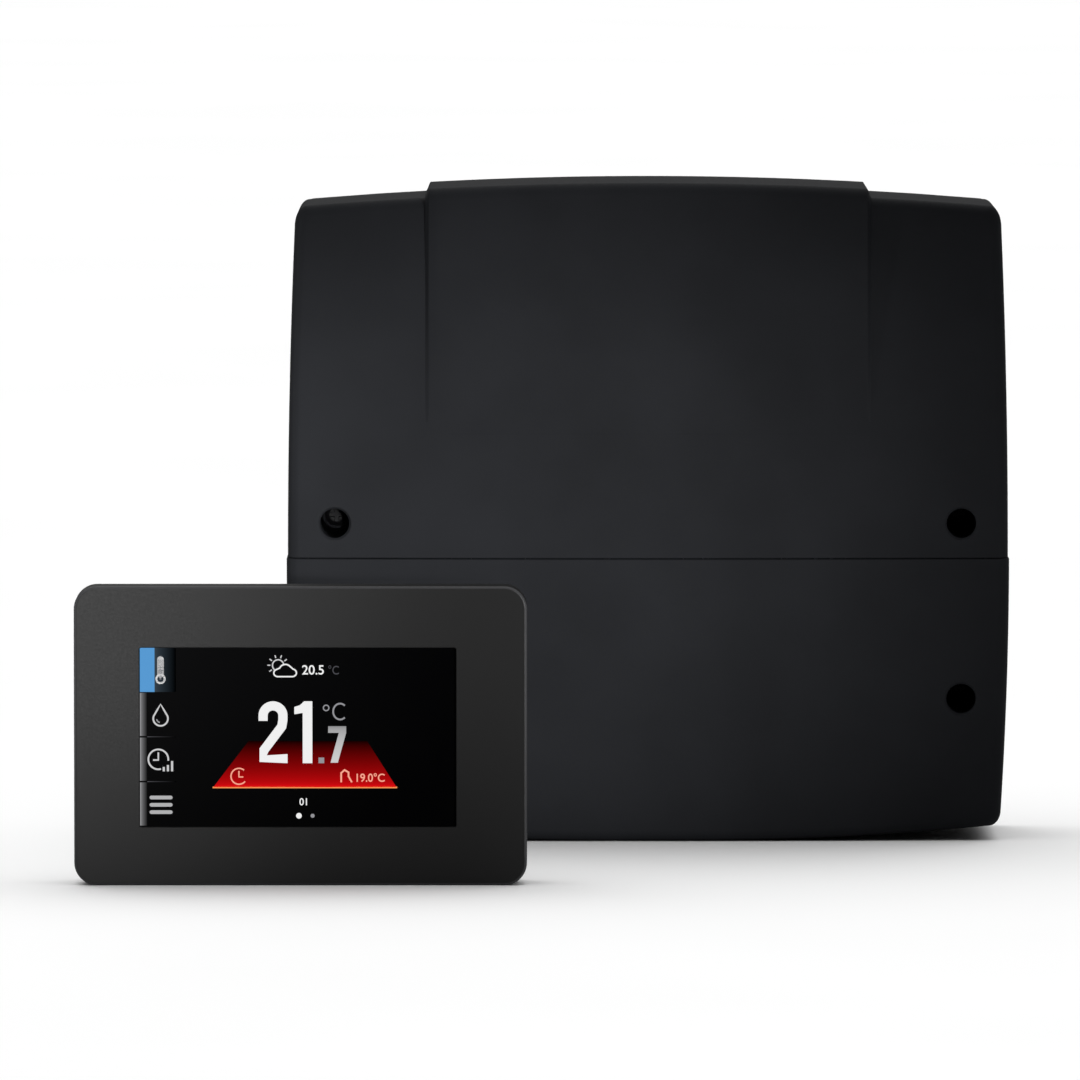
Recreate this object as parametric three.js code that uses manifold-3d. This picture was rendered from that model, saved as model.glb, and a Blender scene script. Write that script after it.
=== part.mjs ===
// Heating controller for an underfloor heating system: a wall-hung control module and a separate touch panel.
// Millimetres, +Z up, fronts towards -Y. While the pieces are made, x = 0 is the middle of the module, y = 0 is
// the wall plane behind it, and z = 0 is the surface on which both units stand. The assembled set is then moved
// sideways, so that its origin is the middle of the ground that both units cover.
import * as THREE from "three";
import { mergeVertices } from "three/addons/utils/BufferGeometryUtils.js";
import Module from "manifold-3d";

const wasm = await Module();
wasm.setup();

// ---------------------------------------------------------------- driving dimensions: module case
const MODULE_WIDTH = 225; // widest, at the top of the terminal cover
const MODULE_HEIGHT = 202.4; // to the crest of the plain top edge
const MODULE_DEPTH = 60; // wall plane to the fullest point of the front
const CASE_WALL = 2.5;
const SPLIT_Z = 88.3; // line where the two covers meet
const SPLIT_GAP = 0.6;
const COVER_STEP = 0.4; // the terminal cover is this much wider on each side
const UPPER_NARROWING = 2.7; // each side draws in by this much up to the top
const LOWER_NARROWING = 3.0; // and by this much down to the bottom
const TOP_CROWN = 4.4; // the top edge drops by this much at its ends
const BOTTOM_CROWN = 4.3;
const FOOT_HALF = 15; // half the flat middle of the bottom edge
const FRONT_CROWN_X = 3.2; // the front falls back by this much at its sides
const FRONT_CROWN_Z = 2.4; // and at its top edge
const EDGE_FILLET = 3.6;
const TOP_CORNER = { x: 4.6, z: 8 };
const BOTTOM_CORNER = { x: 3.4, z: 5 };

const RAISED_WIDTH = 137.4; // the raised middle field of the upper cover
const RAISED_RISE = 2.8;
const RAISED_DROP = 77; // it fades into the front this far below the crest
const RAISED_DRAFT = 0.6;
const RAISED_FILLET = 4;

// ---------------------------------------------------------------- cover screws and their wells
const WELL_EDGE = 15; // well axis to the side of the case
const UPPER_WELL_RISE = 10.9; // upper wells above the split
const LOWER_WELL_Z = 44.5;
const WELL_RADIUS = 4.6;
const WELL_WALL = 1.6;
const WELL_FLOOR = 3;
const COVER_SCREW_RADIUS = 1.75;
const COVER_SCREW_HEAD_RADIUS = 3.8;
const COVER_SCREW_HEAD_HEIGHT = 2.5;
const SCREW_PLAY = 0.2; // radial play of a shank in its hole
const SCREW_SIDES = 12;
const SEAT_GAP = 0.3; // left between pieces that rest on each other

// ---------------------------------------------------------------- module base
const PLATE_THICKNESS = 2.5;
const COVER_BACK_GAP = 0.5; // cover edge to back plate
const RIM_PLAY = 0.9; // rim inside the cover wall
const RIM_WALL = 2.2;
const RIM_DEPTH = 24;
const BOSS_RADIUS = 4.7;
const BOSS_TOP = 9;
const HOOK_X = 60;
const HOOK_WIDTH = 11;
const HOOK_REACH = 2.4;
const KEYHOLE_SIDE_X = 70;
const KEYHOLE_TOP_Z = 164;
const KEYHOLE_BOTTOM_Z = 66;
const KEYHOLE_HEAD_RADIUS = 4.6;
const KEYHOLE_SLOT_RADIUS = 2.4;
const KEYHOLE_RUN = 8;

// ---------------------------------------------------------------- cable entry and strain relief
const ENTRY_MARGIN = 26; // cable entry to the side of the case
const ENTRY_FRONT = 27;
const ENTRY_BACK = 5;
const ENTRY_HEIGHT = 12;
const CLAMP_Z = 19;
const CLAMP_HEIGHT = 8;
const CLAMP_BACK = 14;
const CLAMP_THICKNESS = 4;
const CLAMP_TOOTH = 1.5;
const CLAMP_TEETH = 9;
const CLAMP_MIDDLE_GAP = 8;
const CLAMP_SCREW_INSET = 5;
const CLAMP_SCREW_RADIUS = 1.5;
const CLAMP_SCREW_HEAD_RADIUS = 2.9;
const CLAMP_SCREW_HEAD_HEIGHT = 2.2;
const CLAMP_BOSS_RADIUS = 3.4;
const CLAMP_BOSS_TOP = 10;
const CLAMP_TRAVEL = 3.5; // from open to fully tightened

// ---------------------------------------------------------------- boards and what they carry
const BOARD_THICKNESS = 1.6;
const POST_RADIUS = 3.4;
const POST_HEIGHT = 7.9;
const BOARD_BOTTOM = 38;
const BOARD_TOP_MARGIN = 13.5; // board to the crest of the top edge
const BOARD_SIDE_PLAY = 1.2;
const BOARD_HOLE_INSET = 5;
const BOARD_SCREW_RADIUS = 1.25;
const BOARD_SCREW_HEAD_RADIUS = 2.6;
const BOARD_SCREW_HEAD_HEIGHT = 1.9;

const RELAY = { width: 12.7, depth: 15.7, height: 29, pitch: 14.8, count: 6, rise: 12 };
const TRANSFORMER = { width: 44, depth: 32, height: 37 };
const STORAGE_CAPACITOR = { radius: 6.3, length: 21 };
const OUTPUT_CAPACITOR = { radius: 5, length: 16 };
const FILM_CAPACITOR = { width: 18, depth: 15, height: 8.5 };
const VARISTOR = { radius: 7, thickness: 4.4, stand: 3 };
const LOGIC_BOARD = { width: 82, stand: 12.4, gap: 6 };
const SPACER_RADIUS = 2.6;
const BATTERY = { radius: 10, thickness: 3.2 };

const MAINS_PITCH = 5.08;
const SENSOR_PITCH = 3.81;
const PLUGS_PER_HEADER = 3;
const HEADER_Z = 52; // middle of both terminal rows
const HEADER_HEIGHT = 11;
const HEADER_DEPTH = 8.5;
const HEADER_WALL = 1;
const HEADER_END_MARGIN = 4;
const HEADER_MIDDLE_GAP = 10;
const PIN_WIDTH = 1;
const PLUG_PLAY = 0.3;
const PLUG_HEAD_DEPTH = 12;
const PLUG_HEAD_HEIGHT = 14;
const PLUG_TONGUE = 6;

const FUSE = { radius: 2.6, length: 20, cap: 5.2 };
const FUSE_HOLDER = { length: 26, height: 10.5, depth: 5.5 };
const FUSE_CAP_DEPTH = 9;
const FUSE_CAP_WALL = 1.2;
const FUSE_Z = 76;

const EARTH_BAR = { length: 58, height: 7, depth: 6, stand: 6, ways: 7 };
const EARTH_BAR_Z = 32;

// ---------------------------------------------------------------- touch panel
const PANEL_WIDTH = 136;
const PANEL_HEIGHT = 90;
const PANEL_CORNER = 6.8;
const PANEL_MIDDLE_X = -105.5; // where it stands, left of the module's middle
const PANEL_FRONT_Y = -203; // and in front of the wall plane
const BEZEL_DEPTH = 12;
const BEZEL_WALL = 2.2;
const BEZEL_CHAMFER = 0.9;
const WINDOW_WIDTH = 95;
const WINDOW_HEIGHT = 53.9;
const WINDOW_SHIFT = { x: -0.8, z: -0.4 };
const WINDOW_DEPTH = 1.2; // the glass lies this far behind the front
const GLASS_OVERLAP = 4;
const GLASS_THICKNESS = 1.1;
const LCD_THICKNESS = 3.9;
const LCD_OVERLAP = { x: 5.2, z: 6.6 };
const PANEL_BOARD_Y = 9;
const PANEL_BOARD_MARGIN = 7;
const BACK_INSET = 2;
const BACK_END = 20;
const BACK_WALL = 2;
const PANEL_SCREW_INSET = { x: 9, z: 9 };
const PANEL_SCREW_RADIUS = 1.25;
const PANEL_SCREW_HEAD_RADIUS = 2.5;
const PANEL_SCREW_HEAD_HEIGHT = 1.8;
const PANEL_BOSS_RADIUS = 3.2;
const BUZZER = { radius: 6, height: 6 };
const SOCKET = { width: 20, height: 9, depth: 7.5 };
const WALL_PLATE = { width: 108, height: 70, thickness: 2.7, corner: 4, foot: 10 };
const WALL_PLATE_OPENING = { width: 46, height: 34 };
const WALL_SLOT_SPACING = 60.3; // screw spacing of a round flush-mounting box
const WALL_SLOT = { radius: 2.2, run: 5 };
const PEG = { width: 6, height: 2, reach: 5, play: 0.4 };
const PEG_X = 38;

// ---------------------------------------------------------------- materials
const plastic = (color, roughness = 0.6) => new THREE.MeshStandardMaterial({ color, roughness });
const metal = (color, roughness = 0.35) =>
  new THREE.MeshStandardMaterial({ color, roughness, metalness: 1 });
const caseBlack = plastic(0x2b2c2f, 0.62);
const panelBlack = plastic(0x2e2e30, 0.55);
const glassBlack = plastic(0x050506, 0.08);
const boardGreen = plastic(0x1f5a36, 0.5);
const relayBlue = plastic(0x2d4f86, 0.45);
const blockBlack = plastic(0x17181a, 0.5);
const filmYellow = plastic(0xc9a227, 0.5);
const terminalGreen = plastic(0x3f8f57, 0.55);
const terminalGrey = plastic(0x8d9196, 0.55);
const clampGrey = plastic(0x5b5f64, 0.6);
const steel = metal(0xa9adb2);
const brass = metal(0xb8923f);
const canAluminium = metal(0x9aa0a8, 0.4);

// ---------------------------------------------------------------- solids
// A closed three.js geometry as a manifold-3d solid.
function solid(geometry) {
  const loose = geometry.index ? geometry.toNonIndexed() : geometry;
  const bare = new THREE.BufferGeometry().setAttribute("position", loose.getAttribute("position"));
  const merged = mergeVertices(bare, 1e-4);
  return new wasm.Manifold(
    new wasm.Mesh({
      numProp: 3,
      vertProperties: merged.attributes.position.array,
      triVerts: new Uint32Array(merged.index.array),
    }),
  );
}

function geometryOf(shape) {
  const mesh = shape.getMesh();
  const geometry = new THREE.BufferGeometry();
  geometry.setAttribute("position", new THREE.BufferAttribute(mesh.vertProperties, 3));
  geometry.setIndex(new THREE.BufferAttribute(mesh.triVerts, 1));
  geometry.computeVertexNormals();
  return geometry;
}

const union = (shapes) => shapes.reduce((sum, next) => sum.add(next));
const range = (count) => Array.from({ length: count }, (_, i) => i);

function block(x0, x1, y0, y1, z0, z1) {
  const box = new THREE.BoxGeometry(x1 - x0, y1 - y0, z1 - z0);
  return solid(box.translate((x0 + x1) / 2, (y0 + y1) / 2, (z0 + z1) / 2));
}

// A round bar along Y, from y0 to y1, with its axis at (x, z).
function rodY(radius, y0, y1, x = 0, z = 0, sides = 14, farRadius = radius) {
  const bar = new THREE.CylinderGeometry(farRadius, radius, y1 - y0, sides);
  return solid(bar.translate(x, (y0 + y1) / 2, z));
}

// A turned piece along Y, from a profile of [radius, y] pairs that starts and ends on the axis.
function turned(profile, sides = 16) {
  const points = profile.map(([radius, y]) => new THREE.Vector2(radius, y));
  return solid(new THREE.LatheGeometry(points, sides));
}

// The triangles of a ring's flat cap, turning the way that the ring runs.
function capTriangles(ring, flatten) {
  const flat = ring.map(flatten);
  const sign = Math.sign(THREE.ShapeUtils.area(flat));
  return THREE.ShapeUtils.triangulateShape(flat, []).map(([i, j, k]) =>
    Math.sign(THREE.ShapeUtils.area([flat[i], flat[j], flat[k]])) === sign ? [i, j, k] : [k, j, i],
  );
}

// A closed skin through rings of equally many points, with a flat cap at each end.
function loft(rings, flatten = (p) => new THREE.Vector2(p.x, p.z)) {
  const count = rings[0].length;
  const last = (rings.length - 1) * count;
  const points = rings.flat();
  let faces = [];
  for (let start = 0; start < last; start += count)
    for (let i = 0; i < count; i++) {
      const [a, b] = [start + i, start + ((i + 1) % count)];
      faces.push([a, b, b + count], [a, b + count, a + count]);
    }
  faces.push(...capTriangles(rings[0], flatten).map(([i, j, k]) => [k, j, i]));
  faces.push(...capTriangles(rings.at(-1), flatten).map((face) => face.map((i) => i + last)));
  const volume = faces.reduce((sum, [a, b, c]) => {
    const cross = new THREE.Vector3().crossVectors(points[b], points[c]);
    return sum + points[a].dot(cross);
  }, 0);
  if (volume < 0) faces = faces.map(([a, b, c]) => [c, b, a]);
  const geometry = new THREE.BufferGeometry().setFromPoints(points);
  geometry.setIndex(faces.flat());
  return solid(geometry);
}

// A ring of an (x, z) outline; y is a number or a function of x and z.
function ringAt(outline, y) {
  return outline.map((p) => new THREE.Vector3(p.x, typeof y === "function" ? y(p.x, p.y) : y, p.y));
}

const prism = (outline, y0, y1) => loft([ringAt(outline, y0), ringAt(outline, y1)]);

// Points of a quarter ellipse from one edge's end to the next edge's start, round their corner.
function quarter(from, corner, to, steps) {
  return range(steps - 1).map((i) => {
    const angle = ((i + 1) / steps) * (Math.PI / 2);
    return new THREE.Vector2(
      corner.x + (from.x - corner.x) * (1 - Math.sin(angle)) + (to.x - corner.x) * (1 - Math.cos(angle)),
      corner.y + (from.y - corner.y) * (1 - Math.sin(angle)) + (to.y - corner.y) * (1 - Math.cos(angle)),
    );
  });
}

// Evenly spaced values from one end to the other, both included.
const between = (from, to, steps) => range(steps + 1).map((i) => from + ((to - from) * i) / steps);

// A closed outline of four edges, each a list of points, with rounded corners between them.
function roundedLoop(edges, steps) {
  return edges.flatMap((edge, i) => {
    const next = edges[(i + 1) % edges.length];
    const [end, start] = [edge.at(-1), next[0]];
    const corner = i % 2 ? new THREE.Vector2(start.x, end.y) : new THREE.Vector2(end.x, start.y);
    return [...edge, ...quarter(end, corner, start, steps)];
  });
}

function roundedRectangle(width, height, radius, middleX = 0, middleZ = 0, steps = 5) {
  const [x, z] = [width / 2, height / 2];
  const at = (px, pz) => new THREE.Vector2(middleX + px, middleZ + pz);
  const edges = [
    [at(x, radius - z), at(x, z - radius)],
    [at(x - radius, z), at(radius - x, z)],
    [at(-x, z - radius), at(-x, radius - z)],
    [at(radius - x, -z), at(x - radius, -z)],
  ];
  return roundedLoop(edges, steps);
}

// ---------------------------------------------------------------- module case surfaces
// Half the case's width at height z.
function halfWidth(z) {
  const up = z > SPLIT_Z;
  const share = up ? (z - SPLIT_Z) / (MODULE_HEIGHT - SPLIT_Z) : 1 - z / SPLIT_Z;
  return MODULE_WIDTH / 2 - (up ? UPPER_NARROWING : LOWER_NARROWING) * share ** 2;
}

const crownHalf = MODULE_WIDTH / 2 - UPPER_NARROWING - TOP_CORNER.x;
const topEdge = (x) => MODULE_HEIGHT - TOP_CROWN * (x / crownHalf) ** 2;
const bottomEdge = (x) =>
  BOTTOM_CROWN * (Math.max(0, Math.abs(x) - FOOT_HALF) / (crownHalf - FOOT_HALF)) ** 2;
const frontY = (x, z) =>
  -MODULE_DEPTH +
  FRONT_CROWN_X * ((2 * x) / MODULE_WIDTH) ** 2 +
  FRONT_CROWN_Z * ((z - SPLIT_Z) / (MODULE_HEIGHT - SPLIT_Z)) ** 2;

// The case's outline in (x, z), drawn in by an inset all round and by a step at the sides.
function caseOutline(inset, step = 0) {
  const side = (z) => halfWidth(z) - step - inset;
  const top = (x) => new THREE.Vector2(x, topEdge(x) - inset);
  const bottom = (x) => new THREE.Vector2(x, bottomEdge(x) + inset);
  const topX = side(MODULE_HEIGHT - TOP_CROWN) - TOP_CORNER.x;
  const bottomX = side(BOTTOM_CROWN) - BOTTOM_CORNER.x;
  const sideZ = [
    ...between(bottom(bottomX).y + BOTTOM_CORNER.z, SPLIT_Z, 4),
    ...between(SPLIT_Z, top(topX).y - TOP_CORNER.z, 5).slice(1),
  ];
  const edges = [
    sideZ.map((z) => new THREE.Vector2(side(z), z)),
    between(topX, -topX, 10).map(top),
    sideZ.toReversed().map((z) => new THREE.Vector2(-side(z), z)),
    [...between(-bottomX, -FOOT_HALF, 4), ...between(FOOT_HALF, bottomX, 4)].map(bottom),
  ];
  return roundedLoop(edges, 4);
}

// The case as a filled pillow from y = back forward, drawn in by an inset on every face.
function pillow(inset, step, back) {
  const fillet = Math.max(EDGE_FILLET - inset, 1);
  const front = (x, z) => frontY(x, z) + inset;
  const rings = [ringAt(caseOutline(inset, step), back)];
  for (const angle of between(0, Math.PI / 2, 3)) {
    const outline = caseOutline(inset + fillet * (1 - Math.cos(angle)), step);
    rings.push(ringAt(outline, (x, z) => front(x, z) + fillet * (1 - Math.sin(angle))));
  }
  for (const further of [12, 30, 52]) rings.push(ringAt(caseOutline(inset + fillet + further, step), front));
  return loft(rings);
}

// The raised middle field of the upper cover, as a wedge that reaches into the case.
function raisedField(back) {
  const half = RAISED_WIDTH / 2;
  const columns = [
    [-half - RAISED_DRAFT, -0.2],
    ...between(-half, half, 8).map((x) => [x, RAISED_RISE]),
    [half + RAISED_DRAFT, -0.2],
  ];
  const sections = columns.map(([x, rise]) => {
    const top = topEdge(x) + rise;
    const foot = MODULE_HEIGHT - RAISED_DROP;
    const front = (z) => {
      const share = Math.min(1, Math.max(0, (z - foot) / (top - RAISED_FILLET - foot)));
      return frontY(x, z) - rise * share - 0.05 * Math.sign(rise) * Math.sign(share);
    };
    const shoulder = top - RAISED_FILLET;
    const face = between(foot, shoulder, 8).map((z) => [front(z), z]);
    const roll = between(0, Math.PI / 2, 4)
      .slice(1)
      .map((a) => [
        front(shoulder) + RAISED_FILLET * (1 - Math.cos(a)),
        shoulder + RAISED_FILLET * Math.sin(a),
      ]);
    const depth = 3 * CASE_WALL;
    const inside = [
      [back, top],
      [back, topEdge(x) - depth],
      [frontY(x, foot) + depth, topEdge(x) - depth],
      [frontY(x, foot) + depth, foot],
    ];
    return [...face, ...roll, ...inside].map(([y, z]) => new THREE.Vector3(x, y, z));
  });
  return loft(sections, (p) => new THREE.Vector2(p.y, p.z));
}

// ---------------------------------------------------------------- places worked out from the dimensions
const COVER_BACK = -PLATE_THICKNESS - COVER_BACK_GAP;
const FAR = 400; // well past every face, for cutting
const WELL_X = MODULE_WIDTH / 2 - WELL_EDGE;
const UPPER_WELL_Z = SPLIT_Z + UPPER_WELL_RISE;
const WELL_TUBE_RADIUS = WELL_RADIUS + WELL_WALL;
const WELL_TUBE_END = -BOSS_TOP - 0.6;
const WELL_SEAT = WELL_TUBE_END - WELL_FLOOR;
const SHANK_TIP = -PLATE_THICKNESS - 0.8;
const RIM_INSET = CASE_WALL + RIM_PLAY;
const ENTRY_HALF = MODULE_WIDTH / 2 - ENTRY_MARGIN;
const BOARD_HALF = WELL_X - WELL_TUBE_RADIUS - BOARD_SIDE_PLAY;
const BOARD_TOP = MODULE_HEIGHT - BOARD_TOP_MARGIN;
const BOARD_BACK_Y = -PLATE_THICKNESS - POST_HEIGHT - SEAT_GAP;
const BOARD_FRONT_Y = BOARD_BACK_Y - BOARD_THICKNESS;
const ON_BOARD_Y = BOARD_FRONT_Y - SEAT_GAP;
const boardHoles = [-1, 1].flatMap((side) =>
  [BOARD_BOTTOM + BOARD_HOLE_INSET, BOARD_TOP - BOARD_HOLE_INSET].map((z) => ({
    x: side * (BOARD_HALF - BOARD_HOLE_INSET),
    z,
  })),
);
const clampSpans = [
  { name: "mains", x0: -ENTRY_HALF, x1: -CLAMP_MIDDLE_GAP / 2 },
  { name: "sensor", x0: CLAMP_MIDDLE_GAP / 2, x1: ENTRY_HALF },
];
const clampScrewXs = ({ x0, x1 }) => [x0 + CLAMP_SCREW_INSET, x1 - CLAMP_SCREW_INSET];

// ---------------------------------------------------------------- fasteners
// A pan-head screw along Y: its head stands in front of y = 0 and its shank runs back to y = length.
function panScrew(shank, head, headHeight, length) {
  const profile = [
    [0, -headHeight],
    [head * 0.62, -headHeight],
    [head * 0.93, -headHeight * 0.62],
    [head, -headHeight * 0.25],
    [head, 0],
    [shank, 0],
    [shank, length - shank],
    [shank * 0.45, length],
    [0, length],
  ];
  const body = turned(profile, SCREW_SIDES);
  const slot = head * 0.17;
  const [reach, depth] = [head * 0.62, headHeight * 0.55];
  const cross = union([
    block(-reach, reach, -headHeight - 1, depth - headHeight, -slot, slot),
    block(-slot, slot, -headHeight - 1, depth - headHeight, -reach, reach),
  ]);
  return body.subtract(cross);
}

// ---------------------------------------------------------------- covers
function screwWells(shell, wells) {
  const tubes = wells.map(([x, z]) =>
    rodY(WELL_TUBE_RADIUS, frontY(x, z) + CASE_WALL / 2, WELL_TUBE_END, x, z, 24),
  );
  const bores = wells.map(([x, z]) => rodY(WELL_RADIUS, -FAR, WELL_SEAT, x, z, 24));
  const holes = wells.map(([x, z]) => rodY(COVER_SCREW_RADIUS + SCREW_PLAY, -FAR, 0, x, z, 16));
  return union([shell, ...tubes]).subtract(union([...bores, ...holes]));
}

function upperCover() {
  const cavity = pillow(CASE_WALL, COVER_STEP, 1);
  const above = block(-FAR, FAR, -FAR, COVER_BACK, SPLIT_Z + SPLIT_GAP / 2, FAR);
  const skin = pillow(0, COVER_STEP, COVER_BACK).add(raisedField(COVER_BACK)).subtract(cavity).intersect(above);
  const hooks = [-HOOK_X, HOOK_X].map((x) => {
    const wallTop = topEdge(x) - CASE_WALL / 2;
    const low = topEdge(x) - CASE_WALL - HOOK_REACH;
    const [x0, x1] = [x - HOOK_WIDTH / 2, x + HOOK_WIDTH / 2];
    return block(x0, x1, COVER_BACK - 4.2, COVER_BACK - 1.5, low, wallTop);
  });
  return screwWells(union([skin, ...hooks]), [
    [-WELL_X, UPPER_WELL_Z],
    [WELL_X, UPPER_WELL_Z],
  ]);
}

function terminalCover() {
  const cavity = pillow(CASE_WALL, 0, 1);
  const below = block(-FAR, FAR, -FAR, COVER_BACK, -FAR, SPLIT_Z - SPLIT_GAP / 2);
  const entry = block(-ENTRY_HALF, ENTRY_HALF, -ENTRY_FRONT, -ENTRY_BACK, -1, ENTRY_HEIGHT);
  const skin = pillow(0, 0, COVER_BACK).subtract(cavity).intersect(below).subtract(entry);
  return screwWells(skin, [
    [-WELL_X, LOWER_WELL_Z],
    [WELL_X, LOWER_WELL_Z],
  ]);
}

// ---------------------------------------------------------------- base
function keyhole(x, z) {
  const slot = [
    rodY(KEYHOLE_HEAD_RADIUS, -PLATE_THICKNESS - 1, 1, x, z, 20),
    rodY(KEYHOLE_SLOT_RADIUS, -PLATE_THICKNESS - 1, 1, x, z + KEYHOLE_RUN, 16),
    block(x - KEYHOLE_SLOT_RADIUS, x + KEYHOLE_SLOT_RADIUS, -PLATE_THICKNESS - 1, 1, z, z + KEYHOLE_RUN),
  ];
  return union(slot);
}

function moduleBase() {
  const plate = prism(caseOutline(0, COVER_STEP), -PLATE_THICKNESS, 0);
  const rimOuter = prism(caseOutline(RIM_INSET, COVER_STEP), -RIM_DEPTH, -PLATE_THICKNESS / 2);
  const rimInner = prism(caseOutline(RIM_INSET + RIM_WALL, COVER_STEP), -FAR, -PLATE_THICKNESS);
  const entry = block(-ENTRY_HALF, ENTRY_HALF, -FAR, -PLATE_THICKNESS, -1, ENTRY_HEIGHT);
  const hookSlots = [-HOOK_X, HOOK_X].map((x) => {
    const half = HOOK_WIDTH / 2 + 1;
    const low = topEdge(x) - RIM_INSET - RIM_WALL - 1.5;
    return block(x - half, x + half, COVER_BACK - 6.6, COVER_BACK - 0.6, low, FAR);
  });
  const wells = [UPPER_WELL_Z, LOWER_WELL_Z].flatMap((z) => [
    [-WELL_X, z],
    [WELL_X, z],
  ]);
  const clampScrews = clampSpans.flatMap(clampScrewXs);
  const solids = [
    ...wells.map(([x, z]) => rodY(BOSS_RADIUS, -BOSS_TOP, -1, x, z)),
    ...boardHoles.map(({ x, z }) => rodY(POST_RADIUS, -PLATE_THICKNESS - POST_HEIGHT, -1, x, z)),
    ...clampScrews.map((x) => rodY(CLAMP_BOSS_RADIUS, -CLAMP_BOSS_TOP, -1, x, CLAMP_Z)),
    ...[-1, 1].map((end) => {
      const x = earthBarX + end * (EARTH_BAR.length / 2 - 6);
      return block(x - 3, x + 3, -PLATE_THICKNESS - EARTH_BAR.stand, -1, EARTH_BAR_Z - 4, EARTH_BAR_Z + 4);
    }),
    ...[-1, 1].map((side) => {
      const [x0, x1] = side < 0 ? [-ENTRY_HALF, -CLAMP_MIDDLE_GAP] : [CLAMP_MIDDLE_GAP, ENTRY_HALF];
      return block(x0 + 12, x1 - 12, -PLATE_THICKNESS - 1.5, -1, CLAMP_Z - 1, CLAMP_Z + 1);
    }),
  ];
  const tip = SHANK_TIP + 0.3;
  const bores = [
    ...wells.flatMap(([x, z]) => [
      rodY(COVER_SCREW_RADIUS + SCREW_PLAY, -FAR, tip, x, z, 16),
      rodY(COVER_SCREW_RADIUS + 1, -BOSS_TOP - 0.01, -BOSS_TOP + 1, x, z, 16, COVER_SCREW_RADIUS),
    ]),
    ...boardHoles.map(({ x, z }) => rodY(BOARD_SCREW_RADIUS + SCREW_PLAY, -FAR, tip, x, z, 12)),
    ...clampScrews.map((x) => rodY(CLAMP_SCREW_RADIUS + SCREW_PLAY, -FAR, tip, x, CLAMP_Z, 12)),
  ];
  const keyholes = [
    keyhole(0, KEYHOLE_TOP_Z),
    keyhole(-KEYHOLE_SIDE_X, KEYHOLE_BOTTOM_Z),
    keyhole(KEYHOLE_SIDE_X, KEYHOLE_BOTTOM_Z),
  ];
  return union([plate, rimOuter.subtract(rimInner), ...solids]).subtract(
    union([entry, ...hookSlots, ...bores, ...keyholes]),
  );
}

// ---------------------------------------------------------------- boards
function mainBoard() {
  const sheet = block(-BOARD_HALF, BOARD_HALF, BOARD_FRONT_Y, BOARD_BACK_Y, BOARD_BOTTOM, BOARD_TOP);
  const holes = boardHoles.map(({ x, z }) => rodY(BOARD_SCREW_RADIUS + SCREW_PLAY, -FAR, 0, x, z, 12));
  return sheet.subtract(union(holes));
}

const relayZ0 = SPLIT_Z + RELAY.rise;
const relayZ1 = relayZ0 + RELAY.height;
const logic = {
  x0: -BOARD_HALF + BOARD_HOLE_INSET * 2 + SPACER_RADIUS,
  z0: relayZ1 + LOGIC_BOARD.gap,
  z1: BOARD_TOP - LOGIC_BOARD.gap / 2,
};
logic.x1 = logic.x0 + LOGIC_BOARD.width;
logic.backY = ON_BOARD_Y - LOGIC_BOARD.stand;
logic.frontY = logic.backY - BOARD_THICKNESS;
const spacerSpots = [
  { x: logic.x0 + SPACER_RADIUS + 1, z: logic.z1 - SPACER_RADIUS - 1 },
  { x: logic.x1 - SPACER_RADIUS - 1, z: logic.z1 - SPACER_RADIUS - 1 },
];
const batterySpot = { x: logic.x1 - BATTERY.radius - 4, z: (logic.z0 + logic.z1) / 2 - 4 };

function logicBoard() {
  const sheet = block(logic.x0, logic.x1, logic.frontY, logic.backY, logic.z0, logic.z1);
  const middleZ = (logic.z0 + logic.z1) / 2;
  const chipX = logic.x0 + 24;
  const chips = [
    block(chipX - 7, chipX + 7, logic.frontY - 1.4, logic.frontY, middleZ - 7, middleZ + 7),
    block(chipX + 14, chipX + 20, logic.frontY - 1.6, logic.frontY, middleZ - 5, middleZ + 3),
  ];
  return union([sheet, ...chips]);
}

// ---------------------------------------------------------------- parts on the main board
function relay() {
  const { width, depth, height } = RELAY;
  const skirt = block(-width / 2, width / 2, -2, 0, -height / 2, height / 2);
  const lid = roundedRectangle(width - 0.8, height - 0.8, 0.8, 0, 0, 2);
  return skirt.add(prism(lid, -depth, -1));
}

function transformer() {
  const { width, depth, height } = TRANSFORMER;
  const ring = (inset, y) => ringAt(roundedRectangle(width - 2 * inset, height - 2 * inset, 2, 0, 0, 2), y);
  const body = loft([ring(0, 0), ring(0, 1.5 - depth), ring(1.5, -depth)]);
  const groove = block(-width, width, -depth * 0.62, -depth * 0.56, -height, height);
  const core = prism(roundedRectangle(width - 1.6, height - 1.6, 1.5, 0, 0, 2), -depth + 2, -1);
  return body.subtract(groove).add(core);
}

function capacitor({ radius, length }) {
  return turned([
    [0, -length],
    [radius - 1, -length],
    [radius, -length + 1],
    [radius, -3.2],
    [radius - 0.6, -2.6],
    [radius - 0.6, -2],
    [radius, -1.4],
    [radius, 0],
    [0, 0],
  ]);
}

function filmCapacitor() {
  const { width, depth, height } = FILM_CAPACITOR;
  const box = prism(roundedRectangle(width, height, 1, 0, 0, 2), -depth, -0.6);
  const feet = [-1, 1].map((end) => {
    const x = end * (width / 2 - 2);
    return block(x - 1, x + 1, -1, 0, -height / 2 + 1, height / 2 - 1);
  });
  return union([box, ...feet]);
}

// A varistor disc standing on two legs, its face to the side.
function varistor() {
  const { radius, thickness, stand } = VARISTOR;
  const disc = turned([
    [0, -thickness / 2],
    [radius - 1.2, -thickness / 2],
    [radius, -thickness / 4],
    [radius, thickness / 4],
    [radius - 1.2, thickness / 2],
    [0, thickness / 2],
  ]).rotate([0, 0, 90]);
  const legs = [-3.75, 3.75].map((z) => rodY(0.5, -stand - radius / 2, 0, 0, z, 8));
  return union([disc.translate([0, -stand - radius, 0]), ...legs]);
}

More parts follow.
